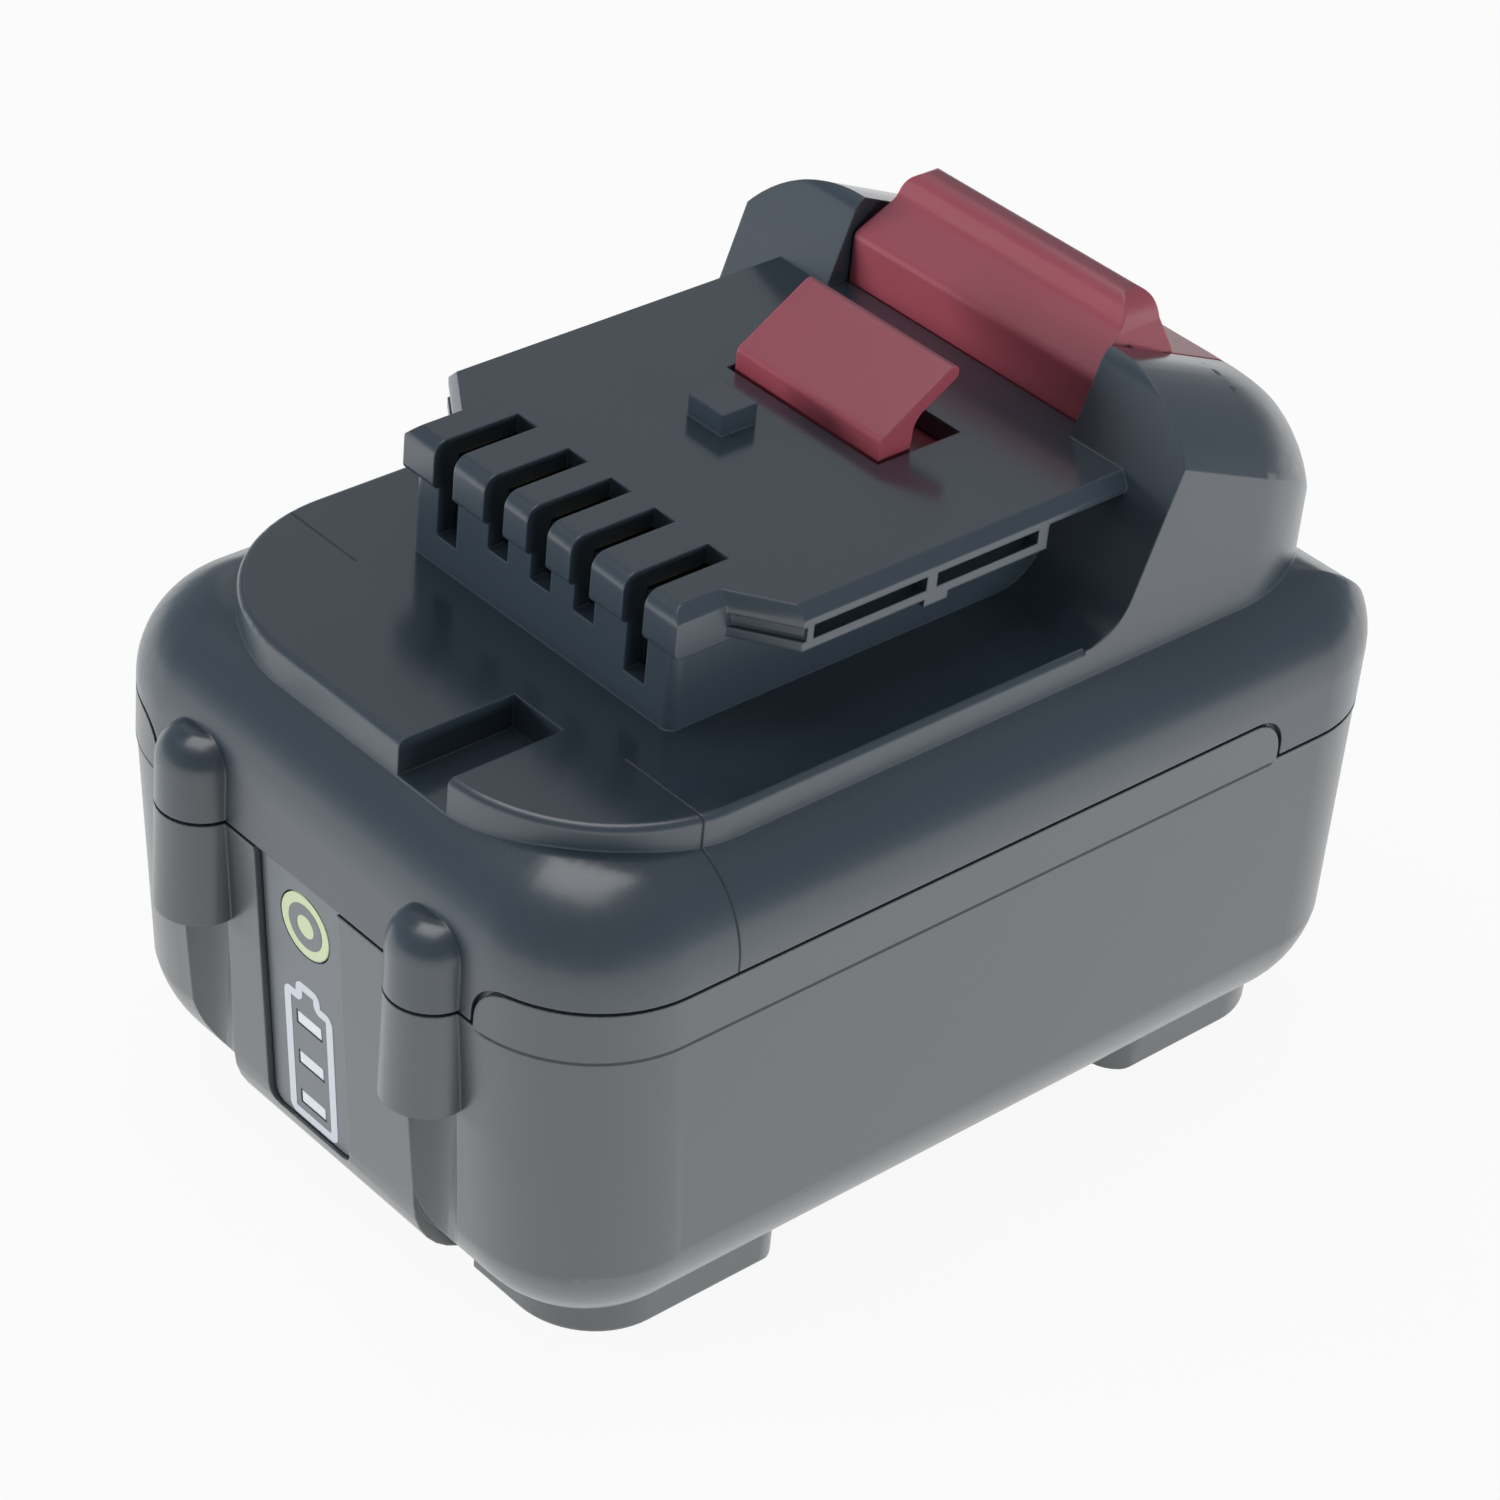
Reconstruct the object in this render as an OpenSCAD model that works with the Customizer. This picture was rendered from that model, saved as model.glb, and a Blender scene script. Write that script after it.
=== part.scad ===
// Slide-on battery pack for a hand power tool, 10 cells crosswise in two layers.
// Origin under the middle of the pack, gauge face towards -Y, rail and release button on top.

/* [Cells] */
// Diameter of one cell
cell_d = 18.4; // [18:0.1:18.8]
// Length of one cell
cell_l = 65.2; // [64:0.2:67]
// Gap between neighbouring cells
cell_gap = 0.8; // [0.7:0.1:1.2]
// Clearance between a cell and its holder
cell_fit = 0.15; // [0.1:0.05:0.25]

/* [Case] */
// Wall thickness of the shells
wall = 2.2; // [1.8:0.1:2.4]
// Room at each end of a cell for its link
end_room = 2.7; // [2.5:0.1:4]
// Room between the front wall and the first cell
front_bay = 8.1; // [8:0.1:11]
// Room behind the last cell
rear_room = 5.55; // [5.5:0.05:8]
// Room between the floor and the cells
under_room = 4.2; // [4:0.1:6]
// Room above the cells for the boards
board_room = 11.2; // [11:0.1:14]
// Height of the lower case above its feet
lower_h = 38.5; // [37:0.5:40]
// Radius of the upright corners and of the bottom edge
corner_r = 14; // [13.5:0.1:14.5]
// Lean of the front wall of the lower case in degrees
front_lean = 5; // [3:0.5:5.5]
// Radius of the lower front edge between the screwdriver channels
front_edge_r = 9.5; // [8:0.5:11]
// Radius of the shoulder
shoulder_r = 10; // [9:0.5:11]
// Radius of the shoulder along the rear
rear_shoulder_r = 16; // [14:0.1:16]
// Height of the tongue along each side
tongue_h = 5.1; // [4:0.1:6]
// Distance of the front end of the tongue from the middle
tongue_x = 24.4; // [24:0.1:25]
// Place of the rear end of the tongue
tongue_y = 38; // [30:1:42]
// Radius of the tongue ends
tongue_r = 4; // [2:0.2:4]
// How far the tongue stands proud of the wall below it
tongue_ledge = 0.1; // [0.08:0.01:0.15]
// Width of the reveal at the parting line
reveal = 0.4; // [0.2:0.1:0.6]
// Depth of the reveal at the parting line
reveal_depth = 0.9; // [0.5:0.1:1.2]

/* [Feet] */
// Height of the feet
foot_h = 3; // [2:0.5:4]
// Distance of the feet from the side walls
foot_in = 6.7; // [6:0.1:9]
// Distance of the feet from the front wall
foot_front_in = 10.4; // [9:0.1:12]
// Distance of the feet from the rear wall
foot_rear_in = 4.3; // [4:0.1:7]
// Length of a front foot along the pack
foot_l = 27; // [16:0.5:30]
// Length of a rear foot along the pack
rear_foot_l = 25.5; // [16:0.5:30]
// Length of a foot across the pack
foot_w = 16; // [12:1:20]
// Radius of a foot at the corner of the case
foot_r = 9; // [6:0.5:10]
// Radius of a foot at its ends
foot_end_r = 4; // [1:0.5:6]

/* [Screw pillars] */
// Distance of a pillar from the middle
pillar_x = 17.8; // [17.4:0.1:18.2]
// Radius of a pillar
pillar_r = 4.5; // [4.2:0.1:4.6]
// How far a pillar stands proud of the front wall
pillar_out = 4.05; // [3.6:0.05:4.2]
// Length of the pillar below the parting line
pillar_h = 11.9; // [10:0.1:14]
// Length of the pillar above the parting line
pillar_top_h = 8.6; // [8.2:0.1:9.4]
// Radius round the top of a pillar
pillar_edge_r = 3.4; // [2.4:0.1:3.8]
// Radius of the screwdriver channel under a pillar
channel_r = 3.9; // [3.6:0.1:4]
// Diameter of a case screw
screw_d = 3; // [2.6:0.1:3.2]
// Diameter of a case screw head
screw_head_d = 5.6; // [5:0.1:6]
// Height of a screw head
screw_head_h = 2.2; // [1.8:0.1:2.6]
// Clearance round a screw
screw_fit = 0.2; // [0.15:0.05:0.3]

/* [Deck] */
// Distance of the deck edge from the side walls
deck_side_in = 6; // [5.5:0.1:6.5]
// Distance of the deck edge from the front wall
deck_front_in = 4.85; // [4.4:0.05:5.5]
// Distance of the deck edge from the rear wall
deck_rear_in = 3.2; // [2.6:0.05:3.6]
// Corner radius of the deck
deck_r = 19; // [17:0.5:21]
// Height of the deck above the shoulder
deck_step = 2.6; // [2:0.1:3.2]
// Radius along the deck edge
deck_edge_r = 0.8; // [0.4:0.1:1.2]
// Place of the keying notch across the deck
notch_x = 9.7; // [8:0.1:11]
// Width of the keying notch
notch_w = 7.2; // [6:0.1:8]
// Length of the keying notch
notch_l = 13.5; // [11:0.5:15]
// Depth of the keying notch
notch_depth = 3.8; // [3:0.1:3.9]

/* [Rail] */
// Height of the rail plate above the deck
rail_h = 13.8; // [13:0.1:15]
// Width of the rail block
block_w = 40; // [39:0.5:42]
// Distance of the rail block from the deck front
block_in = 20.3; // [18:0.1:22]
// Overhang of the lip round the top of the block
lip_out = 0.8; // [0.4:0.1:1]
// Height of the lip round the top of the block
lip_h = 5.2; // [4:0.1:6]
// Overhang of a rail flange
flange_out = 6; // [5:0.1:6.5]
// Thickness of a rail flange
flange_t = 4.5; // [4:0.1:5]
// Bevel along the top of a flange
flange_bevel = 1.2; // [0.6:0.1:1.6]
// Distance of the rear end of a flange from the foot of the horns
flange_gap = 5.7; // [4:0.1:7]
// Thickness of the plate behind the end of a flange
flange_tail_t = 1.8; // [1.7:0.1:2.2]
// Distance of the flange from the front of the block
flange_start = 6; // [5:0.1:8]
// Length of the slanted start of the flange
flange_slant = 4.1; // [3:0.1:6]
// Width of a terminal slot
slot_w = 3; // [2.6:0.1:3.2]
// Length of a terminal slot
slot_l = 10.1; // [9:0.1:11]
// Spacing of the three middle slots
slot_pitch = 6.34; // [6.2:0.02:6.6]
// Spacing of an outer slot from its neighbour
slot_pitch_outer = 7.56; // [7.2:0.02:7.8]
// Depth of the middle slots
slot_depth = 8; // [7:0.5:9]
// Depth of the outer slots
slot_depth_outer = 10.5; // [9.5:0.5:11]
// Height of the stop nub on the plate
nub_h = 2.35; // [1.5:0.05:3]

/* [Horns] */
// Height of the horns above the rail plate
horn_rise = 9.2; // [8.6:0.1:9.6]
// Gap between the horns
horn_gap = 35.2; // [34:0.1:36]
// Place of the foot of the horns at deck height
horn_y = 17.7; // [16.5:0.1:18.5]
// Lean of the front of the horns in degrees
horn_lean = 20.3; // [18:0.1:22]
// Fall of the rim towards the rear in degrees
horn_fall = 23; // [20:0.5:24]
// Radius of the tower from its top down to the rear
tower_r = 32; // [30:0.5:33]
// Radius of the rim over a horn
arch_r = 15.6; // [15:0.2:17]
// Angle at which the rim meets the side of a horn
arch_a = 35; // [32:1:38]
// Radius where the horns rise from the deck
root_r = 6; // [4:0.5:7]

/* [Latch] */
// Width of the hook
hook_w = 20.7; // [19:0.1:22]
// Length of the hook
hook_l = 9.7; // [9:0.1:11]
// Height of the hook above the plate
hook_h = 8.15; // [7:0.05:8.4]
// Thickness of the hook where it passes the plate
hook_t = 3.8; // [3.4:0.1:4.4]
// Thickness of the nose at the end of the hook
nose_t = 2; // [1.6:0.1:2.4]
// Place of the front of the hook
hook_y = 4; // [3:0.1:5]
// Length of the button
button_l = 18.7; // [18:0.1:19.5]
// Distance from the hook front to the button front
button_dy = 21.5; // [21:0.1:22.5]
// Height of the front wall of the button above the plate
button_wall_h = 5.45; // [5:0.05:6.5]
// Height of the button ridge above the plate
ridge_h = 12; // [11:0.1:13]
// Running clearance round the latch
latch_fit = 0.35; // [0.3:0.05:0.5]
// Thickness of the plate that joins hook and button
carriage_t = 2.8; // [2.4:0.1:3]
// Wire diameter of a latch spring
spring_wire = 0.8; // [0.7:0.05:0.9]
// Outer diameter of a latch spring
spring_d = 7.2; // [6.8:0.1:8]
// Curls of a latch spring
spring_turns = 6; // [5:0.5:6]

/* [Gauge] */
// Place of the gauge across the front wall
gauge_x = -2.3; // [-3:0.1:3]
// Width of the gauge panel
panel_w = 13; // [12:0.1:15]
// Bottom of the gauge panel above the feet
panel_bottom = 6.4; // [6.2:0.1:7]
// Depth of the panel recess
panel_depth = 1.25; // [1.1:0.05:1.4]
// Thickness of the gauge label
label_t = 0.45; // [0.35:0.05:0.5]
// Diameter of the check button
check_d = 7.4; // [6.8:0.1:7.6]
// Place of the check button from the middle of the gauge
check_x = 0.2; // [-1:0.1:1]
// Distance of the check button below the parting line
check_drop = 6; // [5.8:0.1:6.6]
// Travel of the check button
check_travel = 0.6; // [0.3:0.05:0.7]
// Width of a gauge bar
bar_w = 3.7; // [3.2:0.1:4]
// Height of a gauge bar
bar_h = 1.4; // [1:0.1:1.6]
// Spacing of the gauge bars
bar_pitch = 5.2; // [4.8:0.1:5.2]
// Distance of the top bar below the check button
bar_drop = 12.6; // [12.4:0.1:13]
// Clearance of small moulded fits
fit = 0.2; // [0.15:0.05:0.25]

/* [Boards] */
// Thickness of the main board
board_t = 1.6; // [1.2:0.1:1.8]
// Thickness of the gauge board
gauge_board_t = 1.2; // [1:0.1:1.4]
// Thickness of a cell link
link_t = 0.3; // [0.2:0.05:0.4]
// Thickness of a busbar
busbar_t = 0.5; // [0.4:0.05:0.6]

/* [Hidden] */
$fn = 72;
eps = 0.01;
far = 200;
cell_pitch = cell_d + cell_gap;
columns = 5;
rows = 2;
stack_l = (columns - 1) * cell_pitch + cell_d;
half_w = cell_l / 2 + end_room + wall;
case_l = 2 * wall + front_bay + stack_l + rear_room;
y_rear = (case_l + pillar_out) / 2;
y_front = y_rear - case_l;
floor_z = foot_h + wall;
cell_z = floor_z + under_room + cell_d / 2;
cells_top = cell_z + cell_pitch + cell_d / 2;
deck_z = cells_top + board_room + wall;
body_top = deck_z - deck_step;
parting_z = foot_h + lower_h;
tongue_z = parting_z + tongue_h;
rail_z = deck_z + rail_h;
horn_z = rail_z + horn_rise;

// Deck outline
deck_hw = half_w - deck_side_in;
deck_y0 = y_front + deck_front_in;
deck_y1 = y_rear - deck_rear_in;

// Rail block
block_hw = block_w / 2;
block_y = deck_y0 + block_in;
flange_hw = block_hw + flange_out;
flange_z = rail_z - flange_t;
flange_y = block_y + flange_start;
flange_end = horn_y - flange_gap;
slot_x = slot_pitch + slot_pitch_outer;
terminal_x = [-slot_x, -slot_pitch, 0, slot_pitch, slot_x];
slot_drop = [slot_depth_outer, slot_depth, slot_depth, slot_depth, slot_depth_outer];
nub = [5, 4.4];
nub_place = [-3.75, block_y + 25.85];

// Horns and tower
horn_x = horn_gap / 2;
lean = tan(horn_lean);
horn_top_y = horn_y + (horn_z - deck_z) * lean;
plate_under = rail_z - wall;

// Latch
button_hw = horn_x - latch_fit;
button_y0 = hook_y + button_dy;
button_y1 = button_y0 + button_l;
carriage_top = plate_under - 0.3;
carriage_z = carriage_top - carriage_t;
carriage_hw = hook_w / 2 + 3.6;
aperture_side = 0.6;

// Latch base, springs and posts
base_t = 2;
base_top = cells_top + 7;
base_z = base_top - base_t;
base_hw = deck_hw - 3.5;
base_y0 = hook_y + 5;
base_y1 = base_y0 + 40;
post_r = 3.2;
post_x = deck_hw - wall - post_r + 0.5;
post_y = [base_y0 + 4, base_y0 + 27];
spring_x = 9;
spring_y = hook_y + 15.5;
spring_pin_d = spring_d - 2 * spring_wire - 0.6;
base_screw_d = 2.5;
base_screw_head_d = 4.6;
base_screw_head_h = 1.6;
base_screw_l = 7;

// Cell holders
holder_t = 8.7;
holder_x1 = cell_l / 2 + 0.9;
holder_x0 = holder_x1 - holder_t;
holder_margin = 1.2;
holder_y0 = y_front + wall + front_bay - holder_margin;
holder_y1 = holder_y0 + stack_l + 2 * holder_margin;
holder_top = cells_top + 1;
holder_seat = 0.3;
link_window_d = 12.5;
link_pad_d = 8;
stud_r = 2;
stud_x = holder_x0 + 3.6;
stud_y = [holder_y0 + 16, holder_y0 + 42];

// Main board and terminals
board_z = holder_top + 2.6;
board_top = board_z + board_t;
board_hw = stud_x + 2.4;
board_y0 = holder_y0 + 9.5;
board_y1 = holder_y0 + 49;
carrier_hw = block_hw - wall - 0.4;
carrier_y0 = block_y + wall + 0.9;
carrier_y1 = carrier_y0 + 18;
carrier_top = plate_under - 0.4;
carrier_floor = board_top + 4;
finger_t = 0.6;
blade_gap = 1.1;
terminal_l = 12.5;
terminal_w = blade_gap + 2 * finger_t;
terminal_y = carrier_y0 + 0.8;
pin_w = 1.4;

// Leaning front of the lower case, and the ledge below its tongue
ledge_drop = 0.4;
axis_z = foot_h + corner_r;
axis_y = y_front + corner_r + (parting_z - axis_z) * tan(front_lean);

// Gauge
pillar_y = y_front - pillar_out + pillar_r;
pillar_bottom = parting_z - pillar_h;
pillar_top_z = parting_z + pillar_top_h;
panel_z0 = foot_h + panel_bottom;
check_z = parting_z - check_drop;
bar_z = [for (k = [0:2]) check_z - bar_drop - k * bar_pitch];
y_inner = y_front + wall;
label_fit = 0.15;
face_y = y_front + panel_depth - label_t;
gauge_board_hw = 10;
gauge_board_z0 = panel_z0 + 1.5;
gauge_board_z1 = parting_z - 1.2;
switch_t = 2;
switch_w = 6;
plunger_d = 3;
led = [2, 1, 1.6];
check_flange_t = 0.9;
check_back = y_inner + fit + check_flange_t;
gauge_board_y = check_back + check_travel + fit + switch_t;
guide_hw = 3.4;
guide_y = y_inner + 0.1;
guide_z0 = bar_z[2] - 0.1;
guide_t = gauge_board_y - led[1] - 0.3 - guide_y;

function unit(v) = v / norm(v);
// Point [y, z] of the gauge, turned into the lean of the front wall
function leaned_point(y, z) = [y_front, parting_z] + turned([y - y_front, z - parting_z], front_lean);
function turned(v, a) = [v[0] * cos(a) - v[1] * sin(a), v[0] * sin(a) + v[1] * cos(a)];

// Points of an arc of radius r that replaces the corner p between the points a and b
function arc_at(p, a, b, r, n = 8) =
    let (u = unit(a - p), v = unit(b - p), half = acos(u * v) / 2)
    let (c = p + unit(u + v) * r / sin(half), s = p + u * r / tan(half) - c)
    let (sweep = -sign(cross(u, v)) * (180 - 2 * half))
    [for (k = [0:n]) c + turned(s, sweep * k / n)];

// Outline with rounded corners: each point is [x, y, radius]
function soft_outline(p) =
    [for (i = [0:len(p) - 1])
        let (q = [p[i][0], p[i][1]], a = p[(i + len(p) - 1) % len(p)], b = p[(i + 1) % len(p)])
        each (p[i][2] > 0 ? arc_at(q, [a[0], a[1]], [b[0], b[1]], p[i][2]) : [q])];

// Box between two corners
module span(a, b) {
    translate(a)
        cube(b - a);
}

// Outline in the Y-Z plane, extruded across the pack between x0 and x1
module across(x0, x1) {
    translate([x0, 0, 0])
        rotate([90, 0, 90])
            linear_extrude(x1 - x0)
                children();
}

// Outline in the X-Z plane, extruded along the pack between y0 and y1
module along(y0, y1) {
    translate([0, y1, 0])
        rotate([90, 0, 0])
            linear_extrude(y1 - y0)
                children();
}

// Upright section from a to b with rounded upper and lower corners
module soft_section(a, b, z0, z1, rt, rb) {
    translate([a, z0 + rb])
        square([b - a, z1 - z0 - rt - rb]);
    if (rb > 0) {
        translate([a + rb, z0])
            square([b - a - 2 * rb, rb + eps]);
        for (x = [a + rb, b - rb])
            translate([x, z0 + rb])
                circle(rb);
    }
    if (rt > 0) {
        translate([a + rt, z1 - rt - eps])
            square([b - a - 2 * rt, rt + eps]);
        for (x = [a + rt, b - rt])
            translate([x, z1 - rt])
                circle(rt);
    }
}

// Half of an upright section round its corner axis, for a corner of radius r
module corner_section(r, z0, z1, rt, rb) {
    intersection() {
        union() {
            translate([0, z0 + rb])
                square([r, z1 - z0 - rt - rb]);
            if (rb > 0)
                translate([r - rb, z0 + rb])
                    circle(rb);
            if (rb > 0 && r > rb)
                translate([0, z0])
                    square([r - rb, rb + eps]);
            if (rt > 0)
                translate([r - rt, z1 - rt])
                    circle(rt);
            if (rt > 0 && r > rt)
                translate([0, z1 - rt - eps])
                    square([r - rt, rt + eps]);
        }
        translate([0, z0])
            square([r, z1 - z0]);
    }
}

// Block with round upright corners r and rounded upper and lower edges
module soft_box(hw, y0, y1, r, z0, z1, rt = 0, rb = 0) {
    for (x = [r - hw, hw - r], y = [y0 + r, y1 - r])
        translate([x, y, 0])
            rotate_extrude()
                corner_section(r, z0, z1, rt, rb);
    along(y0 + r, y1 - r)
        soft_section(-hw, hw, z0, z1, rt, rb);
    across(r - hw, hw - r)
        soft_section(y0, y1, z0, z1, rt, rb);
}

// Body of the case, set in by d from its outer skin
module body(d) {
    rear_r = min(rear_shoulder_r, body_top - parting_z - ledge_drop / 2);
    rear_y = y_rear - rear_r;
    rear_z = body_top - rear_r;
    intersection() {
        soft_box(half_w - d, y_front + d, y_rear - d, corner_r - d, foot_h + d, body_top - d,
            shoulder_r - d, corner_r - d);
        across(-far, far)
            union() {
                translate([rear_y, rear_z])
                    circle(rear_r - d);
                translate([-far, -far])
                    square([far + rear_y, far + body_top]);
                translate([-far, -far])
                    square([far + y_rear - d, far + rear_z]);
            }
    }
}

// Places its children on the axis of the rounded lower front edge, in the lean of the front wall
module at_front_axis() {
    translate([0, axis_y, axis_z])
        rotate([front_lean, 0, 0])
            children();
}

// Upright walls of the lower case with the leaning front, set in by d
module tub_walls(d) {
    r = corner_r - d;
    hw = half_w - d - tongue_ledge;
    x = hw - r;
    intersection() {
        soft_box(hw, axis_y - far, y_rear - d - tongue_ledge, r - tongue_ledge, 0, parting_z);
        at_front_axis()
            union() {
                for (s = [-1, 1])
                    translate([s * x, tongue_ledge, -far])
                        cylinder(r = r, h = 2 * far);
                span([-x, tongue_ledge - r, -far], [x, far, far]);
                span([-hw, tongue_ledge, -far], [hw, far, far]);
            }
    }
}

// Lower case with its rounded bottom edge, up to the parting line, set in by d
module tub(d) {
    r = corner_r - d;
    intersection() {
        union() {
            soft_box(half_w - d, axis_y - r, y_rear - d, r, foot_h + d, axis_z + 1, 0, r);
            span([-far, -far, axis_z + 2 * tongue_ledge], [far, far, parting_z]);
        }
        tub_walls(d);
    }
}

// Fuller lower edge of the front wall between the screwdriver channels
module front_pad() {
    hw = pillar_x - channel_r + wall / 4;
    y = corner_r - tongue_ledge;
    z = y * (1 - sin(front_lean)) / cos(front_lean);
    at_front_axis()
        across(-hw, hw)
            polygon(soft_outline([[-y, corner_r, 0], [-y, -z, front_edge_r],
                [0, -y / cos(front_lean), 0], [0, corner_r, 0]]));
}

// Form of the case with its leaning lower front, set in by d
module case_form(d) {
    intersection() {
        tub(d);
        span([-far, -far, 0], [far, far, parting_z]);
    }
    intersection() {
        body(d);
        span([-far, -far, parting_z - ledge_drop], [far, far, far]);
    }
}

// Puts the gauge in its place, in the lean of the front wall
module leaned() {
    translate([gauge_x, y_front, parting_z])
        rotate([front_lean, 0, 0])
            translate([0, -y_front, -parting_z])
                children();
}

// Raised deck, set in by d
module deck(d) {
    soft_box(deck_hw - d, deck_y0 + d, deck_y1 - d, deck_r - d, body_top - shoulder_r, deck_z - d,
        deck_edge_r);
}

// Space below the parting line, with the tongues along both sides, raised by grow
module below_parting(grow) {
    span([-far, -far, -far], [far, far, parting_z + grow]);
    for (s = [0, 1])
        mirror([s, 0, 0])
            intersection() {
                across(0, far)
                    polygon(soft_outline([[-far, 0, 0], [tongue_y + grow, 0, 0],
                        [tongue_y + grow, tongue_z + grow, tongue_r], [-far, tongue_z + grow, 0]]));
                along(-far, far)
                    polygon(soft_outline([[tongue_x - grow, 0, 0], [far, 0, 0],
                        [far, tongue_z + grow, 0], [tongue_x - grow, tongue_z + grow, tongue_r]]));
            }
}

// Section of the cap: flat top, round rim of which the corner axis is at c, open brim below it
module cap_section(c, d) {
    rim = deck_r - arch_r * cos(arch_a);
    brim_z = arch_r * sin(10) - arch_r;
    translate([c + rim, -arch_r])
        circle(arch_r - d);
    translate([-far, -far])
        square([far + c + rim, far - d]);
    translate([-far, -far])
        square([2 * far, far + brim_z]);
}

// Cap with a round rim along both sides and at the rear corners, its top at z = 0, set in by d
module cap(d) {
    x = deck_hw - deck_r;
    drop = arch_r * (1 - sin(arch_a));
    y = (deck_y1 - deck_r - horn_top_y + drop * sin(horn_fall)) / cos(horn_fall);
    for (s = [-1, 1])
        translate([s * x, y, 0])
            rotate_extrude()
                intersection() {
                    cap_section(0, d);
                    translate([0, -far])
                        square([far, far]);
                }
    along(-far, y)
        intersection() {
            cap_section(x, d);
            mirror([1, 0])
                cap_section(x, d);
        }
    span([-x, -far, -far], [x, far, -d]);
}

// Outer form of the tower that carries the horns, set in by d
module tower(d) {
    low = deck_z - shoulder_r / 2;
    lean_in = d / cos(horn_lean);
    foot_y = horn_y + (low - deck_z) * lean + lean_in;
    top_y = horn_top_y - d * lean + lean_in;
    rear_y = deck_y1 - tower_r;
    intersection() {
        soft_box(deck_hw - d, deck_y0 + d, deck_y1 - d, deck_r - d, low, horn_z + 1);
        across(-far, far)
            intersection() {
                polygon(soft_outline([[foot_y, low, 0], [top_y, horn_z - d, 2.5],
                    [deck_y1, horn_z - d, 0], [deck_y1, low, 0]]));
                union() {
                    translate([rear_y, horn_z - tower_r])
                        circle(tower_r - d);
                    translate([-far, -far])
                        square([far + rear_y, far + horn_z]);
                }
            }
        translate([0, horn_top_y, horn_z])
            rotate([-horn_fall, 0, 0])
                cap(d);
    }
}

// Hollow sweep where the horns rise from the deck
module horn_root() {
    side = root_r / tan((90 + horn_lean) / 2);
    intersection() {
        soft_box(deck_hw, deck_y0, deck_y1, deck_r, deck_z - 1, deck_z + root_r * 2);
        across(-far, far)
            difference() {
                polygon([[horn_y - side, deck_z - 1], [horn_y + side, deck_z - 1],
                    [horn_y + side * lean + eps, deck_z + side], [horn_y + side * sin(horn_lean),
                    deck_z + side * cos(horn_lean)], [horn_y - side, deck_z]]);
                translate([horn_y - side, deck_z + root_r])
                    circle(root_r);
            }
    }
}

// Plan of the rail plate, set in by d along its edges
module rail_plan(d) {
    polygon([[-block_hw + d, flange_y], [-flange_hw + d, flange_y + flange_slant],
        [-flange_hw + d, button_y0], [flange_hw - d, button_y0],
        [flange_hw - d, flange_y + flange_slant], [block_hw - d, flange_y]]);
}

// Flanged plate with its bevelled upper edges
module rail_plate() {
    translate([0, 0, flange_z])
        linear_extrude(flange_t - flange_bevel)
            rail_plan(0);
    hull() {
        translate([0, 0, rail_z - flange_bevel - eps])
            linear_extrude(eps)
                rail_plan(0);
        translate([0, 0, rail_z - eps])
            linear_extrude(eps)
                rail_plan(flange_bevel);
    }
}

// Rail block with a lip round its top
module rail_block() {
    soft_box(block_hw - lip_out, block_y + lip_out, button_y0, 1.2, deck_z - wall, rail_z - lip_h / 2);
    intersection() {
        across(-block_hw, block_hw)
            polygon(soft_outline([[block_y, rail_z - lip_h, 0.8], [block_y, rail_z, 1.6],
                [button_y0, rail_z, 0], [button_y0, rail_z - lip_h, 0]]));
        along(block_y, button_y0)
            polygon([[-block_hw, rail_z - lip_h], [block_hw, rail_z - lip_h],
                [block_hw, rail_z - flange_bevel], [block_hw - flange_bevel, rail_z],
                [flange_bevel - block_hw, rail_z], [-block_hw, rail_z - flange_bevel]]);
    }
}

// Two blind pockets and a groove in the edge of each flange, and the gap under its rear end
module flange_cuts() {
    pocket_h = 1.5;
    pocket_z = flange_z + 1;
    groove = 0.6;
    web = 1.3;
    slant = [flange_out, flange_slant];
    a = [block_hw, flange_y] + groove * [-flange_slant, flange_out] / norm(slant);
    b = a + slant;
    first = flange_y + flange_slant + web;
    last = flange_end - web;
    middle = (first + last) / 2 + 0.5;
    for (s = [0, 1])
        mirror([s, 0, 0]) {
            for (p = [[first, middle - web / 2], [middle + web / 2, last]])
                span([flange_hw - 2, p[0], pocket_z], [flange_hw + 2, p[1], pocket_z + pocket_h]);
            translate([0, 0, pocket_z])
                linear_extrude(pocket_h)
                    polygon([a, [a[0], flange_y - 1], [flange_hw + 1, flange_y - 1],
                        [flange_hw + 1, b[1]], b]);
            span([block_hw, flange_end, flange_z - 1], [flange_hw + 1, button_y0, rail_z - flange_tail_t]);
        }
}

// Small step under the middle of each flange
module flange_steps() {
    for (s = [-1, 1])
        translate([s * (flange_hw - 0.9), flange_y + 21, flange_z])
            cube([1.8, 3, 1.6], center = true);
}

// Places of the two screw pillars
module at_pillars() {
    for (s = [-1, 1])
        translate([s * pillar_x, pillar_y, 0])
            children();
}

// Box of the gauge panel on the front wall, smaller by d on each side
module panel_zone(d, y0, y1) {
    top = parting_z + (d > 0 ? -d : 1);
    leaned()
        along(y0, y1)
            polygon(soft_outline([[d - panel_w / 2, panel_z0 + d, 1.6], [panel_w / 2 - d, panel_z0 + d, 1.6],
                [panel_w / 2 - d, top, 0], [d - panel_w / 2, top, 0]]));
}

// Round rod between y0 and y1 at the place of the check button
module check_rod(d, y0, y1) {
    leaned()
        translate([check_x, y1, check_z])
            rotate([90, 0, 0])
                cylinder(d = d, h = y1 - y0);
}

// Three gauge bars between y0 and y1, larger by d all round
module gauge_bars(d, y0, y1) {
    leaned()
        for (z = bar_z)
            span([-bar_w / 2 - d, y0, z - bar_h / 2 - d], [bar_w / 2 + d, y1, z + bar_h / 2 + d]);
}

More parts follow.
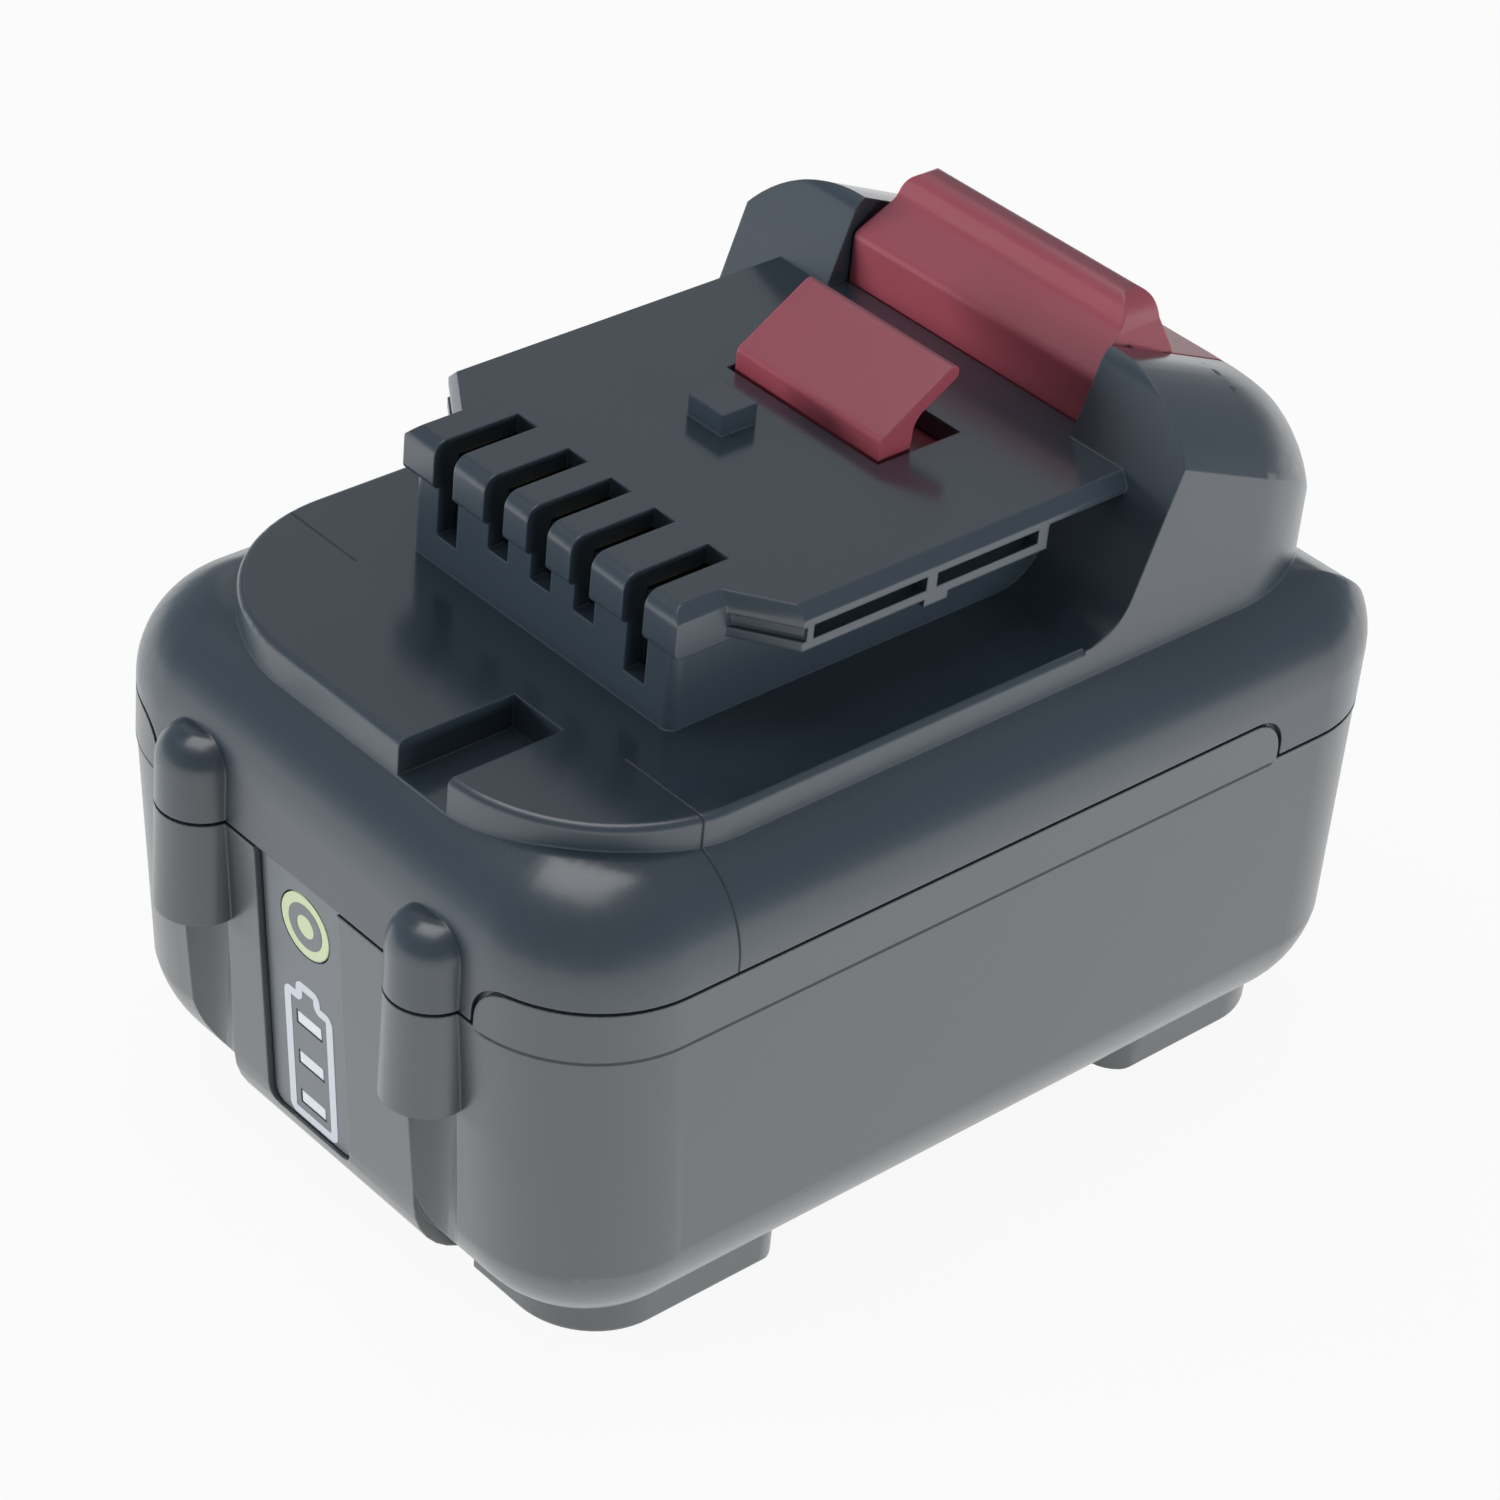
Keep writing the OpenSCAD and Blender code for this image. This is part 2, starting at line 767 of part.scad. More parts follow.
// Four corner feet, cut from one rounded slab
module feet() {
    hw = half_w - foot_in;
    y0 = y_front + foot_front_in;
    y1 = y_rear - foot_rear_in;
    intersection() {
        soft_box(hw, y0, y1, foot_r, 0, axis_z / 2, 0, 0.6);
        for (s = [0, 1])
            mirror([s, 0, 0])
                linear_extrude(axis_z) {
                    polygon(soft_outline([[hw - foot_w, y0 - 1, 0], [hw + eps, y0 - 1, 0],
                        [hw + eps, y0 + foot_l, foot_end_r], [hw - foot_w, y0 + foot_l, foot_end_r]]));
                    polygon(soft_outline([[hw - foot_w, y1 + 1, 0],
                        [hw - foot_w, y1 - rear_foot_l, foot_end_r],
                        [hw + eps, y1 - rear_foot_l, foot_end_r], [hw + eps, y1 + 1, 0]]));
                }
    }
}

// Two hooks inside the rear wall that catch in the upper housing
hook_tab_x = 15;
hook_tab_w = 9;
hook_tab_top = parting_z + 6.5;
module rear_hooks(d) {
    for (s = [-1, 1])
        across(s * hook_tab_x - hook_tab_w / 2 - d, s * hook_tab_x + hook_tab_w / 2 + d)
            polygon([[y_rear - wall - 2.2, parting_z - 9], [y_rear - wall + 0.4, parting_z - 9],
                [y_rear - wall + 0.4, parting_z - 1], [y_rear - wall - 0.2, parting_z - 0.5],
                [y_rear - wall - 0.2, hook_tab_top - 2.6 - d],
                [y_rear - wall + 0.9 + d, hook_tab_top - 2 - d], [y_rear - wall - 0.9, hook_tab_top + d],
                [y_rear - wall - 2.2, hook_tab_top + d]]);
}

module lower_case() {
    guide_w = 1.6;
    guide_x = gauge_board_hw + fit + guide_w / 2 - 0.8;
    color("#4b5257")
        difference() {
            union() {
                intersection() {
                    difference() {
                        union() {
                            case_form(0);
                            front_pad();
                            feet();
                        }
                        case_form(wall);
                    }
                    below_parting(0);
                }
                intersection() {
                    tub(eps);
                    at_pillars()
                        translate([0, 0, foot_h])
                            cylinder(r = channel_r + wall, h = pillar_bottom + wall - foot_h);
                }
                at_pillars()
                    translate([0, 0, pillar_bottom])
                        cylinder(r = pillar_r, h = pillar_h);
                leaned()
                    for (s = [-1, 1])
                        translate([s * guide_x, 0, 0])
                            span([-guide_w / 2, y_inner - 0.5, axis_z + 2],
                                [guide_w / 2, gauge_board_y + gauge_board_t + 0.8, parting_z - 1]);
                rear_hooks(0);
            }
            at_pillars() {
                translate([0, 0, -1])
                    cylinder(r = channel_r, h = pillar_bottom + 1);
                translate([0, 0, pillar_bottom - 1])
                    cylinder(d = screw_head_d + 2 * screw_fit, h = screw_head_h + 1);
                translate([0, 0, pillar_bottom])
                    cylinder(d = screw_d + 2 * screw_fit, h = pillar_h + 1);
            }
            panel_zone(0, y_front - 1, y_front + panel_depth);
            leaned()
                span([-guide_hw - fit, y_inner, guide_z0 - fit], [guide_hw + fit, gauge_board_y, axis_z + 2]);
            check_rod(check_d + 2 * fit, y_front - 1, y_inner + 1);
            gauge_bars(fit, y_front - 1, y_inner + 1);
            leaned()
                span([-gauge_board_hw - fit, gauge_board_y - fit / 2, axis_z],
                    [gauge_board_hw + fit, gauge_board_y + gauge_board_t + fit / 2, parting_z + 1]);
        }
}

module upper_housing() {
    color("#3c4349")
        difference() {
            union() {
                difference() {
                    union() {
                        body(0);
                        deck(0);
                        tower(0);
                        horn_root();
                        rail_block();
                        difference() {
                            union() {
                                rail_plate();
                                flange_steps();
                            }
                            flange_cuts();
                        }
                    }
                    body(wall);
                    deck(wall);
                    span([-block_hw + wall, block_y + lip_out + wall, body_top - shoulder_r],
                        [block_hw - wall, button_y0 + 1, plate_under]);
                    intersection() {
                        tower(wall);
                        union() {
                            span([-far, -far, 0], [far, far, plate_under]);
                            for (s = [-1, 1])
                                translate([s * (far / 2 + horn_x + wall), 0, 0])
                                    cube([far, far, far * 2], center = true);
                        }
                    }
                }
                at_pillars() {
                    rotate_extrude()
                        polygon(soft_outline([[0, parting_z, 0], [pillar_r, parting_z, 0],
                            [pillar_r, pillar_top_z, pillar_edge_r], [0, pillar_top_z, 0]]));
                }
                span([notch_x - notch_w / 2 - wall, deck_y0 + 1, deck_z - notch_depth - wall],
                    [notch_x + notch_w / 2 + wall, deck_y0 + notch_l + wall, deck_z - 1]);
                for (s = [-1, 1], y = post_y)
                    translate([s * post_x, y, base_top])
                        cylinder(r = post_r, h = deck_z - 1 - base_top);
                translate([nub_place[0] - nub[0] / 2, nub_place[1] - nub[1] / 2, rail_z - 1])
                    cube([nub[0], nub[1], nub_h + 1]);
            }
            below_parting(0);
            intersection() {
                difference() {
                    body(-eps);
                    body(reveal_depth);
                }
                below_parting(reveal);
            }
            at_pillars()
                difference() {
                    translate([0, 0, parting_z - 1])
                        cylinder(r = pillar_r + 1, h = reveal + 1);
                    cylinder(r = pillar_r - reveal_depth, h = far);
                }
            at_pillars()
                translate([0, 0, parting_z - 1])
                    cylinder(d = screw_d - 0.5, h = 8);
            rear_hooks(0.25);
            span([notch_x - notch_w / 2, y_front - 1, deck_z - notch_depth],
                [notch_x + notch_w / 2, deck_y0 + notch_l, deck_z + 1]);
            for (i = [0:len(terminal_x) - 1])
                span([terminal_x[i] - slot_w / 2, block_y - 1, rail_z - slot_drop[i]],
                    [terminal_x[i] + slot_w / 2, block_y + slot_l, rail_z + 1]);
            span([-hook_w / 2 - aperture_side, hook_y - aperture_side, plate_under - 1],
                [hook_w / 2 + aperture_side, hook_y + hook_l + aperture_side, rail_z + 1]);
            span([-horn_x, horn_y - root_r, rail_z], [horn_x, button_y1 + latch_fit, horn_z + 1]);
            span([-horn_x, button_y0 - latch_fit, deck_z - shoulder_r],
                [horn_x, button_y1 + latch_fit, horn_z + 1]);
            for (s = [-1, 1], y = post_y)
                translate([s * post_x, y, base_top - 1])
                    cylinder(d = base_screw_d - 0.5, h = base_screw_l);
        }
}

module gauge_label() {
    color("#8a9093")
        difference() {
            panel_zone(label_fit, face_y, y_front + panel_depth);
            check_rod(check_d + 2 * fit, y_front - 1, y_inner);
            gauge_bars(fit, y_front - 1, y_inner);
        }
}

module gauge_button() {
    color("#cdd7b4")
        union() {
            check_rod(check_d, face_y, check_back);
            check_rod(check_d + 2, y_inner + fit, y_inner + fit + check_flange_t);
        }
}

module light_guide() {
    color("#dfe4e6")
        difference() {
            union() {
                gauge_bars(0, face_y + 0.05, guide_y + 0.5);
                leaned()
                    span([-guide_hw, guide_y, guide_z0], [guide_hw, guide_y + guide_t, bar_z[0] + 2.2]);
            }
            leaned()
                for (z = [bar_z[0] - bar_pitch / 2, bar_z[1] - bar_pitch / 2])
                    span([-1.8, guide_y + 0.7, z - 0.5], [1.8, guide_y + guide_t + 1, z + 0.5]);
        }
}

module gauge_board() {
    color("#2f6b45")
        leaned()
            span([-gauge_board_hw, gauge_board_y, gauge_board_z0],
                [gauge_board_hw, gauge_board_y + gauge_board_t, gauge_board_z1]);
}

module gauge_leds() {
    color("#e8e4c8")
        leaned()
            for (z = bar_z)
                span([-led[0] / 2, gauge_board_y - led[1], z - led[2] / 2],
                    [led[0] / 2, gauge_board_y, z + led[2] / 2]);
}

module check_switch() {
    color("#2a2c2e")
        difference() {
            leaned()
                translate([check_x, 0, check_z])
                    span([-switch_w / 2, gauge_board_y - switch_t, -switch_w / 2],
                        [switch_w / 2, gauge_board_y, switch_w / 2]);
            check_rod(plunger_d + 2 * fit, gauge_board_y - switch_t - 1, gauge_board_y - 0.4);
        }
}

module switch_plunger() {
    color("#d8d2c0")
        check_rod(plunger_d, check_back, gauge_board_y - 0.6 - check_travel);
}

module gauge_ribbon() {
    ribbon_w = 6;
    ribbon_t = 0.3;
    x0 = gauge_x + gauge_board_hw - ribbon_w - 2;
    y0 = gauge_board_y + gauge_board_t;
    z0 = gauge_board_z1 - 6;
    z1 = gauge_board_z1 + 1;
    bend = leaned_point(y0, z1);
    color("#b08a3c")
        across(x0, x0 + ribbon_w)
            polygon([leaned_point(y0, z0), bend, [bend[0], board_top + ribbon_t],
                [board_y0 + 4, board_top + ribbon_t], [board_y0 + 4, board_top],
                [bend[0] + ribbon_t, board_top], [bend[0] + ribbon_t, bend[1]],
                leaned_point(y0 + ribbon_t, z0)]);
}

module main_board() {
    color("#2f6b45")
        difference() {
            span([-board_hw, board_y0, board_z], [board_hw, board_y1, board_top]);
            for (x = terminal_x)
                span([x - pin_w / 2 - fit, terminal_y + 3 - fit, board_z - 1],
                    [x + pin_w / 2 + fit, terminal_y + 5 + fit, board_top + 1]);
        }
}

module board_parts() {
    parts = [[-22, 5, 6, 5, 1.6], [-22, 14, 6, 5, 1.6], [22, 8, 7, 7, 1.2], [21, 20, 4, 8, 2.4],
        [-21, 26, 5, 5, 2]];
    color("#1f2225")
        for (p = parts)
            translate([p[0] - p[2] / 2, board_y0 + p[1], board_top])
                cube([p[2], p[3], p[4]]);
}

module terminal_carrier() {
    color("#26282a")
        difference() {
            span([-carrier_hw, carrier_y0, board_top], [carrier_hw, carrier_y1, carrier_top]);
            for (x = terminal_x) {
                span([x - terminal_w / 2 - fit, carrier_y0 - 1, carrier_floor],
                    [x + terminal_w / 2 + fit, terminal_y + terminal_l + fit, carrier_top + 1]);
                span([x - pin_w / 2 - fit, terminal_y + 3 - fit, board_top - 1],
                    [x + pin_w / 2 + fit, terminal_y + 5 + fit, carrier_floor + 1]);
            }
        }
}

module terminal(i) {
    x = terminal_x[i - 1];
    lead_in = 0.35;
    top = carrier_top - 0.2;
    color("#c9a25a")
        difference() {
            union() {
                span([x - terminal_w / 2, terminal_y, carrier_floor],
                    [x + terminal_w / 2, terminal_y + terminal_l, top]);
                span([x - pin_w / 2, terminal_y + 3, board_z - 1],
                    [x + pin_w / 2, terminal_y + 5, carrier_floor + 1]);
            }
            span([x - blade_gap / 2, terminal_y - 1, carrier_floor + 1.2],
                [x + blade_gap / 2, terminal_y + terminal_l + 1, far]);
            translate([x, terminal_y, 0])
                rotate([0, 0, 45])
                    translate([0, 0, far / 2 + carrier_floor + 1.2])
                        cube([blade_gap + lead_in, blade_gap + lead_in, far], center = true);
        }
}

// Side outline of the hook: a ramp that rises to a nose, hollow below it
module hook_outline() {
    y1 = hook_y + hook_l;
    back_y = hook_y + hook_t;
    polygon(soft_outline([[hook_y, carriage_z, 0], [hook_y, rail_z + 2.2, 0.9],
        [y1, rail_z + hook_h, 0.8], [y1, rail_z + hook_h - nose_t, 0.7],
        [back_y + 0.6, rail_z + 3, 2.4], [back_y, carriage_z, 0]]));
}

// Side outline of the button: front wall, sloping finger pad and ridge
module button_outline() {
    pad_l = 4.3;
    pad_rise = 3.6;
    ridge_t = 4.2;
    pad_z = rail_z + button_wall_h;
    ridge_z = rail_z + ridge_h;
    ridge_y = button_y0 + pad_l;
    back_y = ridge_y + ridge_t + 3;
    polygon(soft_outline([[button_y0, carriage_z, 0], [button_y0, pad_z, 1.5],
        [ridge_y, pad_z + pad_rise, 1.8], [ridge_y + 1.1, ridge_z, 1.9], [ridge_y + ridge_t, ridge_z, 1.9],
        [back_y, rail_z + 3, 0], [back_y, carriage_z, 0]]));
}

// End outline of the button: straight sides that draw in towards the ridge
module button_end_outline() {
    pad_z = rail_z + button_wall_h;
    ridge_z = rail_z + ridge_h;
    draw_in = 1.2;
    polygon(soft_outline([[-button_hw, carriage_z, 0], [button_hw, carriage_z, 0], [button_hw, pad_z, 0.8],
        [button_hw - draw_in, pad_z + 3.2, 1.2], [button_hw - draw_in - 0.2, ridge_z, 2.8],
        [draw_in + 0.2 - button_hw, ridge_z, 2.8], [draw_in - button_hw, pad_z + 3.2, 1.2],
        [-button_hw, pad_z, 0.8]]));
}

module latch() {
    color("#8f3b42")
        difference() {
            union() {
                intersection() {
                    across(-hook_w / 2, hook_w / 2)
                        hook_outline();
                    along(hook_y - 1, hook_y + hook_l + 1)
                        polygon(soft_outline([[-hook_w / 2, carriage_z, 0], [hook_w / 2, carriage_z, 0],
                            [hook_w / 2, rail_z + hook_h, 0.9], [-hook_w / 2, rail_z + hook_h, 0.9]]));
                }
                intersection() {
                    across(-button_hw, button_hw)
                        button_outline();
                    along(button_y0 - 1, button_y1 + 1)
                        button_end_outline();
                }
                intersection() {
                    tower(0);
                    span([-button_hw, button_y0 + 5, carriage_z], [button_hw, button_y1, far]);
                }
                span([-carriage_hw, hook_y - 1.6, carriage_z], [carriage_hw, button_y1 - 2, carriage_top]);
                for (s = [-1, 1])
                    translate([s * spring_x, spring_y, carriage_z - 2.4])
                        cylinder(d = spring_pin_d, h = 2.4 + eps);
            }
            span([2 - button_hw, button_y0 + 2, carriage_z - 1],
                [button_hw - 2, button_y1 - 2, rail_z + 0.6]);
        }
}

// Centre line of a spring that fills the room between base and carriage
spring_z0 = base_top + spring_wire / 2 + 0.1;
spring_rise = carriage_z - base_top - spring_wire - 0.2;
spring_steps = 8 * spring_turns;
spring_line = [for (k = [0:spring_steps])
    let (a = 360 * spring_turns * k / spring_steps, r = (spring_d - spring_wire) / 2)
    [r * cos(a), r * sin(a), spring_z0 + spring_rise * k / spring_steps]];
spring_gap = min([for (i = [0:spring_steps - 5], j = [i + 5:spring_steps])
    norm(spring_line[i] - spring_line[j])]) - spring_wire;
echo(str("least gap of a latch spring to itself: ", spring_gap));

// Tube of six sides along the points of line
module tube(line, d) {
    n = len(line);
    sides = 6;
    points = [for (k = [0:n - 1])
        let (t = unit(line[min(k + 1, n - 1)] - line[max(k - 1, 0)]))
        let (u = unit(cross(t, [0, 0, 1])), v = cross(u, t))
        for (s = [0:sides - 1]) line[k] + d / 2 * (u * cos(360 * s / sides) + v * sin(360 * s / sides))];
    skin = [for (k = [0:n - 2], s = [0:sides - 1])
        let (a = k * sides + s, b = k * sides + (s + 1) % sides)
        each [[a, b, b + sides], [a, b + sides, a + sides]]];
    caps = [for (s = [1:sides - 2]) each [[0, s + 1, s],
        [(n - 1) * sides, (n - 1) * sides + s, (n - 1) * sides + s + 1]]];
    polyhedron(points, concat(skin, caps));
}

module latch_spring(s) {
    color("#b9bcc0")
        translate([s * spring_x, spring_y, 0])
            tube(spring_line, spring_wire);
}

module latch_base() {
    color("#2b2e31")
        difference() {
            union() {
                span([-base_hw, base_y0, base_z], [base_hw, base_y1, base_top]);
                for (s = [-1, 1])
                    translate([s * spring_x, spring_y, base_top - eps])
                        cylinder(d = spring_pin_d, h = 3);
            }
            for (s = [-1, 1], y = post_y)
                translate([s * post_x, y, base_z - 1])
                    cylinder(d = base_screw_d + 2 * screw_fit, h = base_t + 2);
        }
}

module latch_base_screws() {
    color("#8d9094")
        for (s = [-1, 1], y = post_y)
            translate([s * post_x, y, base_z - base_screw_head_h]) {
                cylinder(d = base_screw_head_d, h = base_screw_head_h);
                cylinder(d = base_screw_d - 0.5, h = base_screw_l);
            }
}

// Middle of a column of cells along the pack
function cell_y(c) = y_front + wall + front_bay + cell_d / 2 + c * cell_pitch;

module cell(i) {
    c = floor((i - 1) / rows);
    row = (i - 1) % rows;
    way = c % 2 == 0 ? 90 : -90;
    color(row == 0 ? "#4f7fa6" : "#5b8ab0")
        translate([0, cell_y(c), cell_z + row * cell_pitch])
            rotate([0, way, 0])
                difference() {
                    translate([0, 0, -cell_l / 2])
                        union() {
                            cylinder(d = cell_d, h = cell_l - 0.7);
                            cylinder(d = 7, h = cell_l);
                        }
                    translate([0, 0, cell_l / 2 - 5])
                        difference() {
                            cylinder(d = cell_d + 1, h = 1.2);
                            translate([0, 0, -1])
                                cylinder(d = cell_d - 1.2, h = 4);
                        }
                }
}

module cell_holder(s) {
    color("#c9c4b4")
        mirror([s < 0 ? 1 : 0, 0, 0])
            difference() {
                union() {
                    intersection() {
                        span([holder_x0, holder_y0, floor_z], [holder_x1, holder_y1, holder_top]);
                        case_form(wall + holder_seat);
                    }
                    for (y = stud_y)
                        translate([stud_x, y, holder_top - 1])
                            cylinder(r = stud_r, h = board_z - holder_top + 1);
                }
                for (c = [0:columns - 1], row = [0:rows - 1])
                    translate([0, cell_y(c), cell_z + row * cell_pitch])
                        rotate([0, 90, 0]) {
                            translate([0, 0, holder_x0 - 1])
                                cylinder(d = cell_d + 2 * cell_fit, h = cell_l / 2 + 0.1 - holder_x0 + 1);
                            cylinder(d = link_window_d, h = far);
                        }
            }
}

// Links join the columns in series, alternately on the two sides
link_columns = [[0, 1], [2, 3], [4, 4], [0, 0], [1, 2], [3, 4]];
link_half = 5;
module cell_link(i) {
    s = i <= 3 ? 1 : -1;
    c = link_columns[i - 1];
    color("#c4c7ca")
        mirror([s < 0 ? 1 : 0, 0, 0])
            union() {
                span([holder_x1, cell_y(c[0]) - link_half, cell_z - link_half],
                    [holder_x1 + link_t, cell_y(c[1]) + link_half, cell_z + cell_pitch + link_half]);
                for (k = [c[0]:c[1]], row = [0:rows - 1])
                    translate([cell_l / 2, cell_y(k), cell_z + row * cell_pitch])
                        rotate([0, 90, 0])
                            cylinder(d = link_pad_d, h = holder_x1 - cell_l / 2 + eps);
            }
}

// Strip over a holder from the last link of one side to the edge of the main board
module busbar(s, y0, y1) {
    x1 = holder_x1 + link_t + busbar_t;
    x0 = board_hw - 1.2;
    color("#c77b4a")
        mirror([s < 0 ? 1 : 0, 0, 0])
            union() {
                span([holder_x1 + link_t, y1 - 2 * link_half, cell_z + cell_pitch - link_half],
                    [x1, y1, holder_top + busbar_t]);
                span([holder_x1 - 1.6, y0, holder_top], [x1, y1, holder_top + busbar_t]);
                span([x0, y0, holder_top], [holder_x1, y0 + 4, holder_top + busbar_t]);
                span([x0, y0, holder_top], [x0 + busbar_t, y0 + 4, board_z]);
            }
}

module positive_busbar() {
    busbar(1, board_y1 - 4.5, cell_y(columns - 1) + link_half);
}

module negative_busbar() {
    busbar(-1, cell_y(0) - link_half + 4, cell_y(0) + link_half + 4);
}

module top_insulator() {
    color("#d9d3c2")
        span([0.3 - holder_x0, holder_y0, cells_top + 0.1], [holder_x0 - 0.3, holder_y1, cells_top + 0.5]);
}

module base_pad() {
    pad_in = 3;
    color("#5a5d60")
        span([pad_in + corner_r - half_w, axis_y + pad_in, floor_z],
            [half_w - corner_r - pad_in, y_rear - corner_r - pad_in, floor_z + under_room - 0.1]);
}

module thermistor() {
    bead_d = 3;
    reach = cell_d / 2 + bead_d / 2 + 0.1;
    rise = sqrt(reach * reach - cell_pitch * cell_pitch / 4);
    color("#20242a")
        translate([-3, (cell_y(1) + cell_y(2)) / 2, cell_z + cell_pitch + rise])
            rotate([0, 90, 0])
                cylinder(d = bead_d, h = 6);
}

module case_screws() {
    color("#8d9094")
        at_pillars() {
            translate([0, 0, pillar_bottom])
                difference() {
                    cylinder(d = screw_head_d, h = screw_head_h);
                    for (a = [0, 90])
                        rotate([0, 0, a])
                            cube([3.2, 0.9, 2.4], center = true);
                }
            translate([0, 0, pillar_bottom + screw_head_h - eps])
                cylinder(d = screw_d - 0.5, h = pillar_h + 4);
        }
}

lower_case();
upper_housing();
gauge_label();
gauge_button();
light_guide();
gauge_board();
gauge_leds();
check_switch();
switch_plunger();
gauge_ribbon();
main_board();
board_parts();
terminal_carrier();
terminal(1);  // terminal_1
terminal(2);  // terminal_2
terminal(3);  // terminal_3
terminal(4);  // terminal_4
terminal(5);  // terminal_5
latch();
latch_spring(-1);  // latch_spring_left
latch_spring(1);  // latch_spring_right
latch_base();
latch_base_screws();
cell(1);  // cell_1
cell(2);  // cell_2
cell(3);  // cell_3
cell(4);  // cell_4
cell(5);  // cell_5
cell(6);  // cell_6
cell(7);  // cell_7
cell(8);  // cell_8
cell(9);  // cell_9
cell(10);  // cell_10
cell_holder(-1);  // cell_holder_left
cell_holder(1);  // cell_holder_right
cell_link(1);  // cell_link_1
cell_link(2);  // cell_link_2
cell_link(3);  // cell_link_3
cell_link(4);  // cell_link_4
cell_link(5);  // cell_link_5
cell_link(6);  // cell_link_6
positive_busbar();
negative_busbar();
top_insulator();
base_pad();
thermistor();
case_screws();
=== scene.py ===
"""Looks of a slide-on battery pack for cordless tools.

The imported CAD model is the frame: its nodes keep their shapes and places. This script
softens their shading, dresses them in procedural finishes, winds the latch springs,
prints the charge gauge, and sets a white studio with a camera at the photograph's angle.
Sizes are in millimetres in the CAD frame: +X to the right of the gauge, -Y out of the
gauge wall, +Z up. The studio's sizes are in metres.
"""

from __future__ import annotations

import logging
import math
from collections.abc import Iterable, Mapping, Sequence
from dataclasses import dataclass
from enum import Enum
from typing import Any, Optional, Union

import bmesh
import bpy
from mathutils import Matrix, Vector


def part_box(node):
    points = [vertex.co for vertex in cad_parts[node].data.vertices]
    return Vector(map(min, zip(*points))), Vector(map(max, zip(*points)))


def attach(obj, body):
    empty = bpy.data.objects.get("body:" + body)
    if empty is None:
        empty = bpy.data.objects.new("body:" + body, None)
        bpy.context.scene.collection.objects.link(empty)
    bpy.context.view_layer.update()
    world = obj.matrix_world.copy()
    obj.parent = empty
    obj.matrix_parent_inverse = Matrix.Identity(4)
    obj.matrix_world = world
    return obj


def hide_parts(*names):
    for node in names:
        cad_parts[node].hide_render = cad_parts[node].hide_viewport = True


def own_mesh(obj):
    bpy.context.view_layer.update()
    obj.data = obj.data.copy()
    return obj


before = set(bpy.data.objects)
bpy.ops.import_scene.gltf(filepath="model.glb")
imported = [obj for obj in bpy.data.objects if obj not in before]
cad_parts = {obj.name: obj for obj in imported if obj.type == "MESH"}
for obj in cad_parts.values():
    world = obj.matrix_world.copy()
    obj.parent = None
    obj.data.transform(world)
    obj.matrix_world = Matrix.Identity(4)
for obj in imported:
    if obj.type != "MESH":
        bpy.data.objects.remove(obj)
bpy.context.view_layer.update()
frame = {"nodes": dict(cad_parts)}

MM = 0.001
LOG = logging.getLogger("battery_pack")

EDGE_GAIN = 6.0
BEVEL_SAMPLES = 6
UP_FROM, UP_FULL = 0.8, 0.97
DETAIL, FINE_DETAIL = 2.0, 3.0

Colour = tuple[float, float, float]
Point = tuple[float, float]
Triple = tuple[float, float, float]
Span = tuple[float, float]
SocketKey = Union[int, str]
Operand = Union["Wire", float]

EVEN: Triple = (1.0, 1.0, 1.0)
BLACK: Colour = (0.0, 0.0, 0.0)
WHITE: Colour = (1.0, 1.0, 1.0)


def scaled(colour: Colour, factor: float) -> Colour:
    """Return the colour made lighter or darker by a factor."""
    red, green, blue = colour
    return (red * factor, green * factor, blue * factor)


class Wire:
    """An output socket that takes part in Python sums; each sum adds a Math node."""

    def __init__(self, shader: Shader, socket: bpy.types.NodeSocket) -> None:
        """Remember the socket and the shader that it belongs to."""
        self.shader = shader
        self.socket = socket

    def _math(self, operation: str, first: Operand, second: Operand = 0.0) -> Wire:
        """Add a Math node.

        Args:
            operation: The node's operation.
            first: Left operand.
            second: Right operand.

        Returns:
            The node's value.
        """
        settings = {"operation": operation}
        return self.shader.node("ShaderNodeMath", settings, {0: first, 1: second})

    def __add__(self, other: Operand) -> Wire:
        """Sum."""
        return self._math("ADD", self, other)

    def __radd__(self, other: Operand) -> Wire:
        """Sum with a number on the left."""
        return self._math("ADD", other, self)

    def __sub__(self, other: Operand) -> Wire:
        """Difference."""
        return self._math("SUBTRACT", self, other)

    def __rsub__(self, other: Operand) -> Wire:
        """Difference from a number on the left."""
        return self._math("SUBTRACT", other, self)

    def __mul__(self, other: Operand) -> Wire:
        """Product."""
        return self._math("MULTIPLY", self, other)

    def __rmul__(self, other: Operand) -> Wire:
        """Product with a number on the left."""
        return self._math("MULTIPLY", other, self)

    def __abs__(self) -> Wire:
        """Size without the sign."""
        return self._math("ABSOLUTE", self)

    def step(self, low: float, high: float) -> Wire:
        """Return a smooth rise from 0 at low to 1 at high."""
        return self.shader.node(
            "ShaderNodeMapRange",
            {"interpolation_type": "SMOOTHSTEP"},
            {"Value": self, "From Min": low, "From Max": high},
        )

    def clamp(self) -> Wire:
        """Return the value held between 0 and 1."""
        return self.shader.node("ShaderNodeClamp", {}, {"Value": self})


